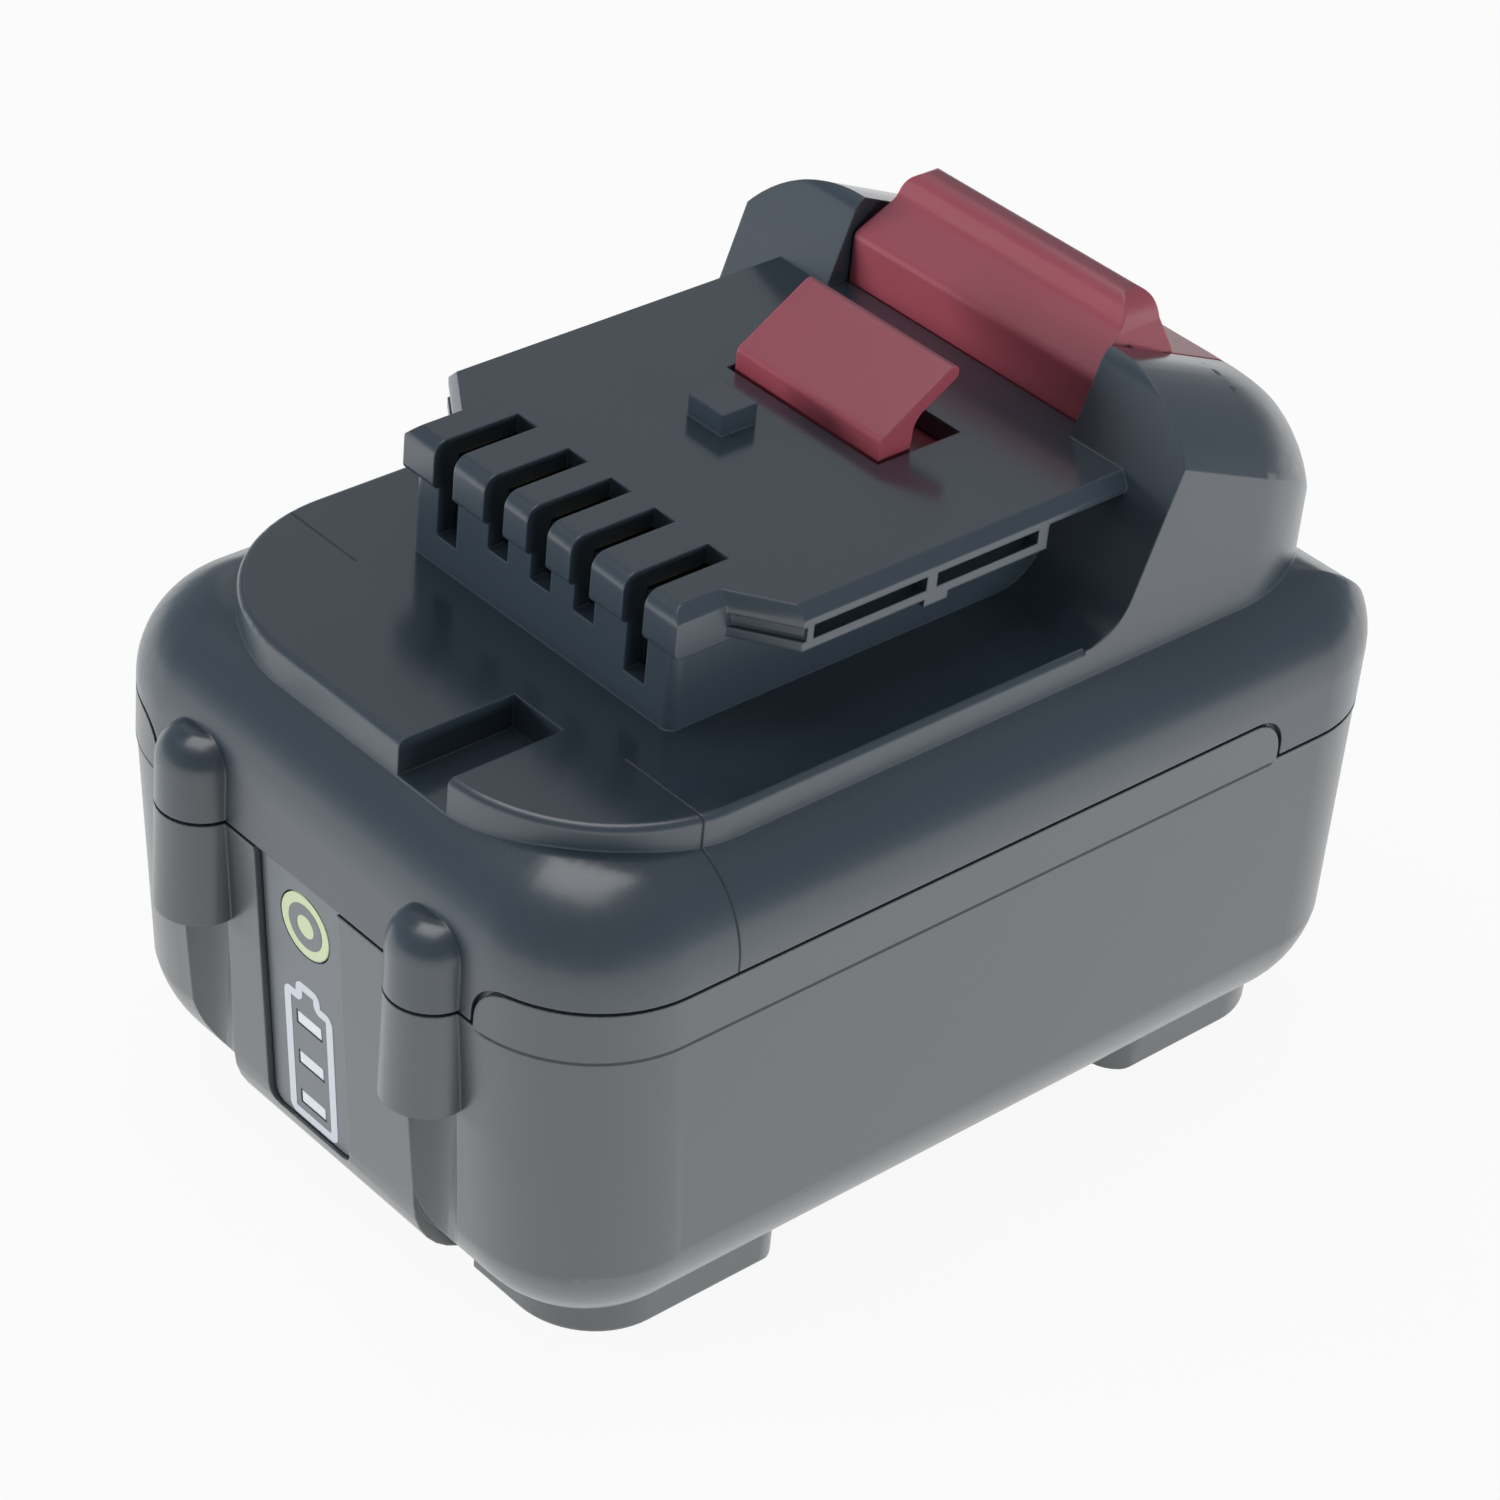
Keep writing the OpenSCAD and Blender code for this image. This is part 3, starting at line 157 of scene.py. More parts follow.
class Shader:
    """Node tree of one finish."""

    def __init__(self, name: str) -> None:
        """Start an empty material of that name."""
        self.material = bpy.data.materials.new(name)
        self.material.use_nodes = True
        self.tree = self.material.node_tree
        self.tree.nodes.clear()

    @staticmethod
    def _find(sockets: Iterable[bpy.types.NodeSocket], key: SocketKey) -> bpy.types.NodeSocket:
        """Return the socket at a place, or the first one in use under a name."""
        if isinstance(key, int):
            return list(sockets)[key]
        return next(s for s in sockets if s.enabled and key in (s.name, s.identifier))

    def node(
        self,
        kind: str,
        settings: Mapping[str, Any],
        inputs: Mapping[SocketKey, Any],
        output: SocketKey = 0,
    ) -> Wire:
        """Add a node of any type.

        Args:
            kind: Blender's type name.
            settings: The node's own settings, set before its sockets.
            inputs: Values or wires for its input sockets, by place or name.
            output: The output socket to hand back, by place or name.

        Returns:
            The chosen output.
        """
        made = self.tree.nodes.new(kind)
        for name, value in settings.items():
            setattr(made, name, value)
        for key, value in inputs.items():
            socket = self._find(made.inputs, key)
            if isinstance(value, Wire):
                self.tree.links.new(value.socket, socket)
            elif isinstance(value, tuple) and socket.type == "RGBA":
                socket.default_value = (*value, 1.0)
            else:
                socket.default_value = value
        return Wire(self, self._find(made.outputs, output))

    def place(self, scale: Triple = EVEN) -> Wire:
        """Return the point on the piece in its own frame, stretched along each axis."""
        point = self.node("ShaderNodeTexCoord", {}, {}, "Object")
        if scale == EVEN:
            return point
        return self.node("ShaderNodeMapping", {}, {"Vector": point, "Scale": scale})

    def axis(self, name: str) -> Wire:
        """Return one coordinate of the point, X, Y or Z, in metres."""
        return self.node("ShaderNodeSeparateXYZ", {}, {0: self.place()}, name)

    def noise(self, size_mm: float, detail: float = DETAIL, stretch: Triple = EVEN) -> Wire:
        """Add cloudy noise.

        Args:
            size_mm: Size of its patches.
            detail: Number of finer layers.
            stretch: Factor on each coordinate; a small one gives streaks along that axis.

        Returns:
            The noise, around 0.5.
        """
        return self.node(
            "ShaderNodeTexNoise",
            {"noise_dimensions": "3D"},
            {"Vector": self.place(stretch), "Scale": 1.0 / (size_mm * MM), "Detail": detail},
        )

    def pores(self, size_mm: float) -> Wire:
        """Return the distance to the nearest of many points, spaced at about a size."""
        return self.node(
            "ShaderNodeTexVoronoi",
            {"feature": "F1"},
            {"Vector": self.place(), "Scale": 1.0 / (size_mm * MM)},
            "Distance",
        )

    def rounded(self, radius_mm: float) -> Wire:
        """Return the normal with corners rounded to a radius."""
        return self.node("ShaderNodeBevel", {"samples": BEVEL_SAMPLES}, {"Radius": radius_mm * MM})

    def edge(self, rounded: Wire) -> Wire:
        """Return a mask that is 1 on a corner that the rounded normal softens."""
        flat = self.node("ShaderNodeNewGeometry", {}, {}, "Normal")
        facing = self.node(
            "ShaderNodeVectorMath", {"operation": "DOT_PRODUCT"}, {0: rounded, 1: flat}, "Value"
        )
        return ((1.0 - facing) * EDGE_GAIN).clamp()

    def facing_up(self) -> Wire:
        """Return a mask that is 1 on faces that look up."""
        normal = self.node("ShaderNodeTexCoord", {}, {}, "Normal")
        return self.node("ShaderNodeSeparateXYZ", {}, {0: normal}, "Z").step(UP_FROM, UP_FULL)

    def blend(
        self, factor: Operand, first: Union[Wire, Colour], second: Union[Wire, Colour]
    ) -> Wire:
        """Mix two colours.

        Args:
            factor: Share of the second colour.
            first: Colour at 0.
            second: Colour at 1.

        Returns:
            The mixed colour.
        """
        return self.node(
            "ShaderNodeMix",
            {"data_type": "RGBA"},
            {"Factor": factor, "A": first, "B": second},
            "Result",
        )

    def shades(self, factor: Wire, colour: Colour, shade: Span) -> Wire:
        """Vary a colour between two shades of it.

        Args:
            factor: Share of the second shade.
            colour: The colour to vary.
            shade: Factors on the colour, for the first and the second shade.

        Returns:
            The varied colour.
        """
        first, second = shade
        return self.blend(factor, scaled(colour, first), scaled(colour, second))

    def bump(self, height: Wire, depth_mm: float, normal: Wire) -> Wire:
        """Return the normal disturbed by a height of 0 to 1 and a depth."""
        return self.node(
            "ShaderNodeBump", {}, {"Height": height, "Distance": depth_mm * MM, "Normal": normal}
        )

    def surface(self, inputs: Mapping[SocketKey, Any]) -> None:
        """Finish the material with one plastic or metal surface."""
        shaded = self.node("ShaderNodeBsdfPrincipled", {}, inputs)
        self.node_out(shaded)

    def node_out(self, shaded: Wire) -> None:
        """Join a shader to the material's output."""
        out = self.tree.nodes.new("ShaderNodeOutputMaterial")
        self.tree.links.new(shaded.socket, out.inputs["Surface"])


@dataclass(frozen=True)
class Finish:
    """A material by its name and its main colour."""

    name: str
    colour: Colour

    def material(self) -> bpy.types.Material:
        """Return the finish's material, made on its first use."""
        ready = bpy.data.materials.get(self.name)
        if ready is not None:
            return ready
        shader = Shader(self.name)
        self.dress(shader)
        return shader.material

    def dress(self, shader: Shader) -> None:
        """Add the finish's nodes."""
        raise NotImplementedError


@dataclass(frozen=True)
class WitnessSeam:
    """Fine line that a split in the mould leaves across the housing, coarser in front of it.

    The line is full up to core and gone from reach on, as shares of its width, and painted darker
    as painted shade in its groove.
    """

    y_mm: float
    from_x_mm: float
    width_mm: float = 0.36
    core: float = 0.2
    reach: float = 0.6
    fade_mm: float = 0.2
    depth: float = 8.0
    # Strength of the painted shade that darkens the seam line.
    ink_and_shade: float = 0.9
    front_rough: float = 0.04
    front_grain: float = 0.5

    def masks(self, shader: Shader) -> tuple[Wire, Wire]:
        """Mask the seam.

        Args:
            shader: The finish's node tree.

        Returns:
            The line itself, and all that lies in front of it.
        """
        ahead = self.y_mm * MM - shader.axis("Y")
        inner, outer = self.from_x_mm - self.fade_mm, self.from_x_mm + self.fade_mm
        beside = abs(shader.axis("X")).step(inner * MM, outer * MM)
        width = self.width_mm * MM
        line = (1.0 - abs(ahead).step(self.core * width, self.reach * width)) * beside
        return line, ahead.step(0.0, 0.5 * self.fade_mm * MM)


@dataclass(frozen=True)
class LedgeLine:
    """Crease along the side walls at one height, where the tongue stands on the wall.

    The line is full up to core and gone from reach on, as shares of its width, and painted darker
    as painted shade in the crease.
    """

    z_mm: float
    from_x_mm: float
    to_y_mm: float
    width_mm: float = 0.7
    core: float = 0.15
    reach: float = 0.5
    fade_mm: float = 1.0
    depth: float = 5.0
    # Strength of the painted shade that darkens the crease.
    ink_and_shade: float = 0.8

    def mask(self, shader: Shader) -> Wire:
        """Return a mask that is 1 on the crease."""
        off = abs(shader.axis("Z") - self.z_mm * MM)
        width = self.width_mm * MM
        line = 1.0 - off.step(self.core * width, self.reach * width)
        outer = self.from_x_mm + 2.0 * self.fade_mm
        beside = abs(shader.axis("X")).step(self.from_x_mm * MM, outer * MM)
        before = 1.0 - shader.axis("Y").step((self.to_y_mm - self.fade_mm) * MM, self.to_y_mm * MM)
        return line * beside * before


@dataclass(frozen=True)
class MouldedPlastic(Finish):
    """Moulded plastic: fine grain, slight clouding, soft corners lightened as a painted highlight,
    glossier where it faces up.
    """

    roughness: float = 0.38
    specular: float = 0.9
    gloss_up: float = 0.1
    grain_mm: float = 0.32
    grain_depth_mm: float = 0.004
    edge_mm: float = 0.3
    # Share and brightness of the painted highlight that lightens the corners.
    painted_edge_highlight: float = 0.55
    edge_highlight_factor: float = 2.0
    shade: Span = (0.9, 1.1)
    cloud_mm: float = 22.0
    cloud_rough: float = 0.08
    grain_rough: float = 0.12
    smooth_up: float = 0.7
    coat: float = 0.0
    coat_rough: float = 0.22
    line_shade: float = 0.3
    line_rough: float = 0.4
    seam: Optional[WitnessSeam] = None
    ledge: Optional[LedgeLine] = None

    def dress(self, shader: Shader) -> None:
        """Add the plastic's nodes."""
        cloud = shader.noise(self.cloud_mm, FINE_DETAIL)
        grain = shader.noise(self.grain_mm)
        rounded = shader.rounded(self.edge_mm)
        edge = shader.edge(rounded)
        up = shader.facing_up()
        colour = shader.shades(cloud, self.colour, self.shade)
        # Painted highlight: the colour is lightened on the corners.
        colour = shader.blend(edge * self.painted_edge_highlight, colour, scaled(self.colour, self.edge_highlight_factor))
        rough = self.roughness + (cloud - 0.5) * self.cloud_rough
        rough = rough + (grain - 0.5) * self.grain_rough - up * self.gloss_up
        height = grain * (1.0 - up * self.smooth_up)
        coat: Operand = self.coat
        # Painted shade: the seam and ledge lines are darkened towards this colour.
        painted_groove_shade = scaled(self.colour, self.line_shade)
        if self.seam is not None:
            line, front = self.seam.masks(shader)
            # Painted shade in the seam's groove.
            colour = shader.blend(line * self.seam.ink_and_shade, colour, painted_groove_shade)
            rough = rough + front * self.seam.front_rough + line * self.line_rough
            coat = self.coat * (1.0 - line)
            height = height + grain * front * self.seam.front_grain - line * self.seam.depth
        if self.ledge is not None:
            crease = self.ledge.mask(shader)
            # Painted shade in the ledge crease.
            colour = shader.blend(crease * self.ledge.ink_and_shade, colour, painted_groove_shade)
            rough = rough + crease * self.line_rough
            coat = self.coat * (1.0 - crease)
            height = height - crease * self.ledge.depth
        shader.surface(
            {
                "Base Color": colour,
                "Roughness": rough,
                "Specular IOR Level": self.specular,
                "Coat Weight": coat,
                "Coat Roughness": self.coat_rough,
                "Normal": shader.bump(height, self.grain_depth_mm, rounded),
            }
        )


@dataclass(frozen=True)
class Metal(Finish):
    """Plated or rolled metal with streaks along one axis and corners lightened as a painted
    highlight.
    """

    roughness: float = 0.28
    shade: Span = (0.82, 1.08)
    streak_mm: float = 0.5
    streak_depth_mm: float = 0.003
    streak_rough: float = 0.2
    stretch: Triple = (0.05, 1.0, 1.0)
    cloud_mm: float = 6.0
    cloud_rough: float = 0.12
    edge_mm: float = 0.12
    # Share and brightness of the painted highlight that lightens the corners.
    painted_edge_highlight: float = 0.5
    edge_highlight_factor: float = 1.2

    def dress(self, shader: Shader) -> None:
        """Add the metal's nodes."""
        streak = shader.noise(self.streak_mm, FINE_DETAIL, self.stretch)
        cloud = shader.noise(self.cloud_mm, FINE_DETAIL)
        rounded = shader.rounded(self.edge_mm)
        edge = shader.edge(rounded)
        colour = shader.shades(streak, self.colour, self.shade)
        rough = self.roughness + (streak - 0.5) * self.streak_rough
        shader.surface(
            {
                # Painted highlight: the colour is lightened on the corners.
                "Base Color": shader.blend(
                    edge * self.painted_edge_highlight, colour, scaled(self.colour, self.edge_highlight_factor)
                ),
                "Roughness": rough + (cloud - 0.5) * self.cloud_rough,
                "Metallic": 1.0,
                "Normal": shader.bump(streak, self.streak_depth_mm, rounded),
            }
        )


@dataclass(frozen=True)
class Sleeve(Finish):
    """Shrink sleeve of a cell, with the bare steel of its can at both ends."""

    steel: Colour
    bare_from_mm: float
    bare_fade_mm: float = 0.15
    bare_gloss: float = 0.06
    roughness: float = 0.34
    shade: Span = (0.88, 1.1)
    wrinkle_mm: float = 1.6
    wrinkle_depth_mm: float = 0.02
    wrinkle_rough: float = 0.2
    stretch: Triple = (0.25, 1.0, 1.0)
    cloud_mm: float = 14.0
    edge_mm: float = 0.2

    def dress(self, shader: Shader) -> None:
        """Add the sleeve's nodes."""
        wrinkle = shader.noise(self.wrinkle_mm, FINE_DETAIL, self.stretch)
        cloud = shader.noise(self.cloud_mm)
        bare_to = self.bare_from_mm + self.bare_fade_mm
        bare = abs(shader.axis("X")).step(self.bare_from_mm * MM, bare_to * MM)
        rounded = shader.rounded(self.edge_mm)
        sleeve = shader.shades(cloud, self.colour, self.shade)
        rough = self.roughness + (wrinkle - 0.5) * self.wrinkle_rough
        shader.surface(
            {
                "Base Color": shader.blend(bare, sleeve, self.steel),
                "Roughness": rough - bare * self.bare_gloss,
                "Metallic": bare,
                "Normal": shader.bump(wrinkle, self.wrinkle_depth_mm, rounded),
            }
        )


@dataclass(frozen=True)
class Laminate(Finish):
    """Lacquered circuit board with faint copper runs under the lacquer."""

    roughness: float = 0.3
    shade: Span = (0.85, 1.12)
    run_mm: float = 2.6
    run_w: float = 0.035
    run_shift: float = 0.37
    run_lift: float = 0.7
    run_shade: float = 1.8
    run_rough: float = 0.05
    weave_mm: float = 0.5
    weave_rough: float = 0.12
    weave_share: float = 0.2
    relief_mm: float = 0.015
    edge_mm: float = 0.1

    def dress(self, shader: Shader) -> None:
        """Add the board's nodes."""
        runs = shader.node(
            "ShaderNodeTexBrick",
            {"offset": self.run_shift},
            {
                "Vector": shader.place(),
                "Scale": 0.5 / (self.run_mm * MM),
                "Mortar Size": self.run_w,
                "Color1": BLACK,
                "Color2": BLACK,
                "Mortar": WHITE,
            },
            "Fac",
        )
        weave = shader.noise(self.weave_mm)
        rounded = shader.rounded(self.edge_mm)
        ground = shader.shades(weave, self.colour, self.shade)
        copper = scaled(self.colour, self.run_shade)
        rough = self.roughness + (weave - 0.5) * self.weave_rough
        shader.surface(
            {
                "Base Color": shader.blend(runs * self.run_lift, ground, copper),
                "Roughness": rough + runs * self.run_rough,
                "Normal": shader.bump(runs + weave * self.weave_share, self.relief_mm, rounded),
            }
        )


@dataclass(frozen=True)
class Film(Finish):
    """Printed film or paper: fine fibre, almost no relief."""

    roughness: float = 0.45
    contrast: float = 0.06
    fibre_mm: float = 0.4
    fibre_depth_mm: float = 0.002
    fibre_rough: float = 0.14
    stretch: Triple = (1.0, 1.0, 0.4)
    cloud_mm: float = 9.0
    edge_mm: float = 0.1

    def dress(self, shader: Shader) -> None:
        """Add the film's nodes."""
        fibre = shader.noise(self.fibre_mm, FINE_DETAIL, self.stretch)
        cloud = shader.noise(self.cloud_mm)
        rounded = shader.rounded(self.edge_mm)
        shade = (1.0 - self.contrast, 1.0 + self.contrast)
        shader.surface(
            {
                "Base Color": shader.shades((fibre + cloud) * 0.5, self.colour, shade),
                "Roughness": self.roughness + (fibre - 0.5) * self.fibre_rough,
                "Normal": shader.bump(fibre, self.fibre_depth_mm, rounded),
            }
        )


@dataclass(frozen=True)
class Foam(Finish):
    """Closed-cell foam pad."""

    roughness: float = 0.92
    shade: Span = (0.6, 1.15)
    pore_mm: float = 0.6
    pore_rise: Span = (0.1, 0.7)
    pore_depth_mm: float = 0.08
    pore_gloss: float = 0.1
    edge_mm: float = 0.3

    def dress(self, shader: Shader) -> None:
        """Add the foam's nodes."""
        pores = shader.pores(self.pore_mm).step(*self.pore_rise)
        rounded = shader.rounded(self.edge_mm)
        shader.surface(
            {
                "Base Color": shader.shades(pores, self.colour, self.shade),
                "Roughness": self.roughness - pores * self.pore_gloss,
                "Normal": shader.bump(pores, self.pore_depth_mm, rounded),
            }
        )


@dataclass(frozen=True)
class FrostedGuide(Finish):
    """Frosted light guide that glows a little with the light that falls in."""

    roughness: float = 0.4
    shade: Span = (0.9, 1.04)
    frost_mm: float = 0.25
    frost_depth_mm: float = 0.004
    frost_rough: float = 0.2
    glow: float = 0.2
    glow_mm: float = 0.8
    edge_mm: float = 0.15

    def dress(self, shader: Shader) -> None:
        """Add the guide's nodes."""
        frost = shader.noise(self.frost_mm)
        rounded = shader.rounded(self.edge_mm)
        reach = self.glow_mm * MM
        shader.surface(
            {
                "Base Color": shader.shades(frost, self.colour, self.shade),
                "Roughness": self.roughness + (frost - 0.5) * self.frost_rough,
                "Subsurface Weight": self.glow,
                "Subsurface Radius": (reach, reach, reach),
                "Normal": shader.bump(frost, self.frost_depth_mm, rounded),
            }
        )


class SoftShading:
    """Modifiers that shade the curved faces of a CAD node smooth and keep its corners crisp."""

    weld_mm: float = 0.0005

    def __init__(self, crease_degrees: float = 34.0) -> None:
        """Make the shared modifier for a crease angle."""
        self.group = self._make_group(math.radians(crease_degrees))

    def _make_group(self, crease: float) -> bpy.types.NodeTree:
        """Build the geometry nodes.

        Args:
            crease: Angle in radians above which an edge stays sharp.

        Returns:
            The node group.
        """
        group = bpy.data.node_groups.new("soft_shading", "GeometryNodeTree")
        group.interface.new_socket("Geometry", in_out="INPUT", socket_type="NodeSocketGeometry")
        group.interface.new_socket("Geometry", in_out="OUTPUT", socket_type="NodeSocketGeometry")
        new, join = group.nodes.new, group.links.new
        start, end = new("NodeGroupInput"), new("NodeGroupOutput")
        weld = new("GeometryNodeMergeByDistance")
        weld.inputs["Distance"].default_value = self.weld_mm * MM
        plain = new("GeometryNodeRemoveAttribute")
        plain.inputs["Name"].default_value = "custom_normal"
        smooth, sharp = new("GeometryNodeSetShadeSmooth"), new("GeometryNodeSetShadeSmooth")
        sharp.domain = "EDGE"
        sharp.inputs["Shade Smooth"].default_value = False
        angle = new("GeometryNodeInputMeshEdgeAngle")
        steep = new("FunctionNodeCompare")
        steep.operation = "GREATER_THAN"
        steep.inputs["B"].default_value = crease
        join(angle.outputs["Unsigned Angle"], steep.inputs["A"])
        join(steep.outputs["Result"], sharp.inputs["Selection"])
        chain = [start, weld, plain, smooth, sharp, end]
        for before, after in zip(chain, chain[1:]):
            join(before.outputs[0], after.inputs[0])
        return group

    def apply(self, piece: bpy.types.Object) -> None:
        """Add the modifiers to a piece."""
        piece.modifiers.new("soft_shading", "NODES").node_group = self.group
        normals = piece.modifiers.new("weighted_normals", "WEIGHTED_NORMAL")
        normals.keep_sharp = True


class Dresser:
    """Puts finishes on the CAD nodes and on the new pieces."""

    def __init__(self, nodes: Mapping[str, bpy.types.Object]) -> None:
        """Remember the CAD nodes and make the shading that they share."""
        self.nodes = nodes
        self.shading = SoftShading()
        self.done: set[str] = set()

    def node(self, name: str, finish: Finish) -> None:
        """Dress one CAD node."""
        piece = self.nodes[name]
        self.paint(piece, finish)
        self.shading.apply(piece)
        self.done.add(name)
        LOG.info("dressed %s in %s", name, finish.name)

    def group(self, stem: str, finish: Finish) -> None:
        """Dress every CAD node whose name starts with a stem."""
        for name in sorted(self.nodes):
            if name.startswith(stem):
                self.node(name, finish)

    @staticmethod
    def paint(piece: bpy.types.Object, finish: Finish) -> None:
        """Make a finish the only material of a piece."""
        piece.data.materials.clear()
        piece.data.materials.append(finish.material())

    def bare(self) -> list[str]:
        """Return the CAD nodes that no class has dressed."""
        return sorted(set(self.nodes) - self.done)


class Slot(Enum):
    """Names of material slots for the new pieces; nothing in the script uses them."""

    LABEL = "label"
    CHECK_BUTTON = "check_button"
    STEEL = "steel"


def offset_path(path: Sequence[Point], distance: float) -> list[Point]:
    """Shift a closed path sideways.

    Args:
        path: Its corners in order.
        distance: How far to shift, to the left of the path's direction.

    Returns:
        The corners of the shifted path.
    """
    shifted = []
    for i, here in enumerate(path):
        before, after = path[i - 1], path[(i + 1) % len(path)]
        first = Vector((here[0] - before[0], here[1] - before[1])).normalized()
        second = Vector((after[0] - here[0], after[1] - here[1])).normalized()
        left_1, left_2 = Vector((-first.y, first.x)), Vector((-second.y, second.x))
        mitre = (left_1 + left_2) / (1.0 + left_1.dot(left_2))
        shifted.append((here[0] + mitre.x * distance, here[1] + mitre.y * distance))
    return shifted


def round_corners(path: Sequence[Point], radius: float, steps: int = 5) -> list[Point]:
    """Replace each right-angled corner of a closed path by an arc.

    Args:
        path: Its corners in order.
        radius: Radius of the arcs.
        steps: Number of points on each arc.

    Returns:
        The points of the rounded path.
    """
    points = []
    for i, corner in enumerate(path):
        here = Vector(corner)
        before, after = Vector(path[i - 1]), Vector(path[(i + 1) % len(path)])
        into, out = (before - here).normalized(), (after - here).normalized()
        centre = here + (into + out) * radius
        for k in range(steps):
            turn = 0.5 * math.pi * k / (steps - 1)
            spot = centre - out * radius * math.cos(turn) - into * radius * math.sin(turn)
            points.append((spot.x, spot.y))
    return points


def circle(centre: Point, radius: float, steps: int = 48) -> list[Point]:
    """Return the points of a circle."""
    x, y = centre
    turns = [math.tau * k / steps for k in range(steps)]
    return [(x + radius * math.cos(turn), y + radius * math.sin(turn)) for turn in turns]


@dataclass
class Enclosure:
    """Lower case, upper housing and the screws that hold them together."""

    case: Finish
    housing: Finish
    screws: Finish

    def dress(self, dresser: Dresser) -> None:
        """Dress the two mouldings and the fasteners."""
        dresser.node("lower_case", self.case)
        dresser.node("upper_housing", self.housing)
        dresser.group("case_screws", self.screws)


@dataclass
class Release:
    """Red hook and release button, with the base and the springs under them."""

    red: Finish
    base: Finish
    steel: Finish
    stroke: float = 6.5
    wire_d: float = 0.8
    turns: int = 6
    turn_steps: int = 24
    wire_sides: int = 10

    def dress(self, dresser: Dresser) -> None:
        """Dress the latch and what carries it."""
        dresser.node("latch", self.red)
        dresser.node("latch_base", self.base)
        dresser.node("latch_base_screws", self.steel)
        dresser.group("latch_spring", self.steel)

    def build(self) -> None:
        """Wind two springs under the latch."""
        for side in ("left", "right"):
            self._spring(f"latch_spring_{side}", f"latch_coil_{side}")

    def _spring(self, node: str, name: str) -> None:
        """Wind one spring in its CAD node's room.

        Args:
            node: CAD spring that the piece stands for.
            name: Name of the piece.
        """
        low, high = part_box(node)
        wire = self.wire_d * MM
        middle = (low + high) / 2.0
        foot = Vector((middle.x, middle.y, low.z))
        height = high.z - low.z
        rings = self._rings((high.x - low.x - wire) / 2.0, height - wire, wire / 2.0)
        sides = self.wire_sides
        points = [foot + point for ring in rings for point in ring]
        last = len(points) - sides
        faces: list[tuple[int, ...]] = []
        for start in range(0, last, sides):
            for side in range(sides):
                here, beside = start + side, start + (side + 1) % sides
                faces.append((here, beside, beside + sides, here + sides))
        faces += [tuple(reversed(range(sides))), tuple(range(last, len(points)))]
        mesh = bpy.data.meshes.new(name)
        mesh.from_pydata(points, [], faces)
        mesh.shade_smooth()
        piece = bpy.data.objects.new(name, mesh)
        bpy.context.scene.collection.objects.link(piece)
        Dresser.paint(piece, self.steel)
        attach(piece, "case")
        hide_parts(node)
        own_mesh(piece)
        LOG.info("built %s", name)

    def _rings(self, radius: float, rise: float, thickness: float) -> list[list[Vector]]:
        """Set the wire's cross-sections along a helix that stands on the origin.

        Args:
            radius: Radius of the wire's centre line.
            rise: Height of the centre line from its first to its last point.
            thickness: Radius of the wire.

        Returns:
            One ring of points for each step along the wire.
        """
        steps = self.turns * self.turn_steps
        slope = rise / (self.turns * math.tau)
        section = circle((0.0, 0.0), thickness, self.wire_sides)
        rings = []
        for step in range(steps + 1):
            angle = math.tau * step / self.turn_steps
            out = Vector((math.cos(angle), math.sin(angle), 0.0))
            along = Vector((-radius * out.y, radius * out.x, slope)).normalized()
            across = along.cross(out)
            centre = out * radius + Vector((0.0, 0.0, thickness + rise * step / steps))
            rings.append([centre + out * x + across * y for x, y in section])
        return rings


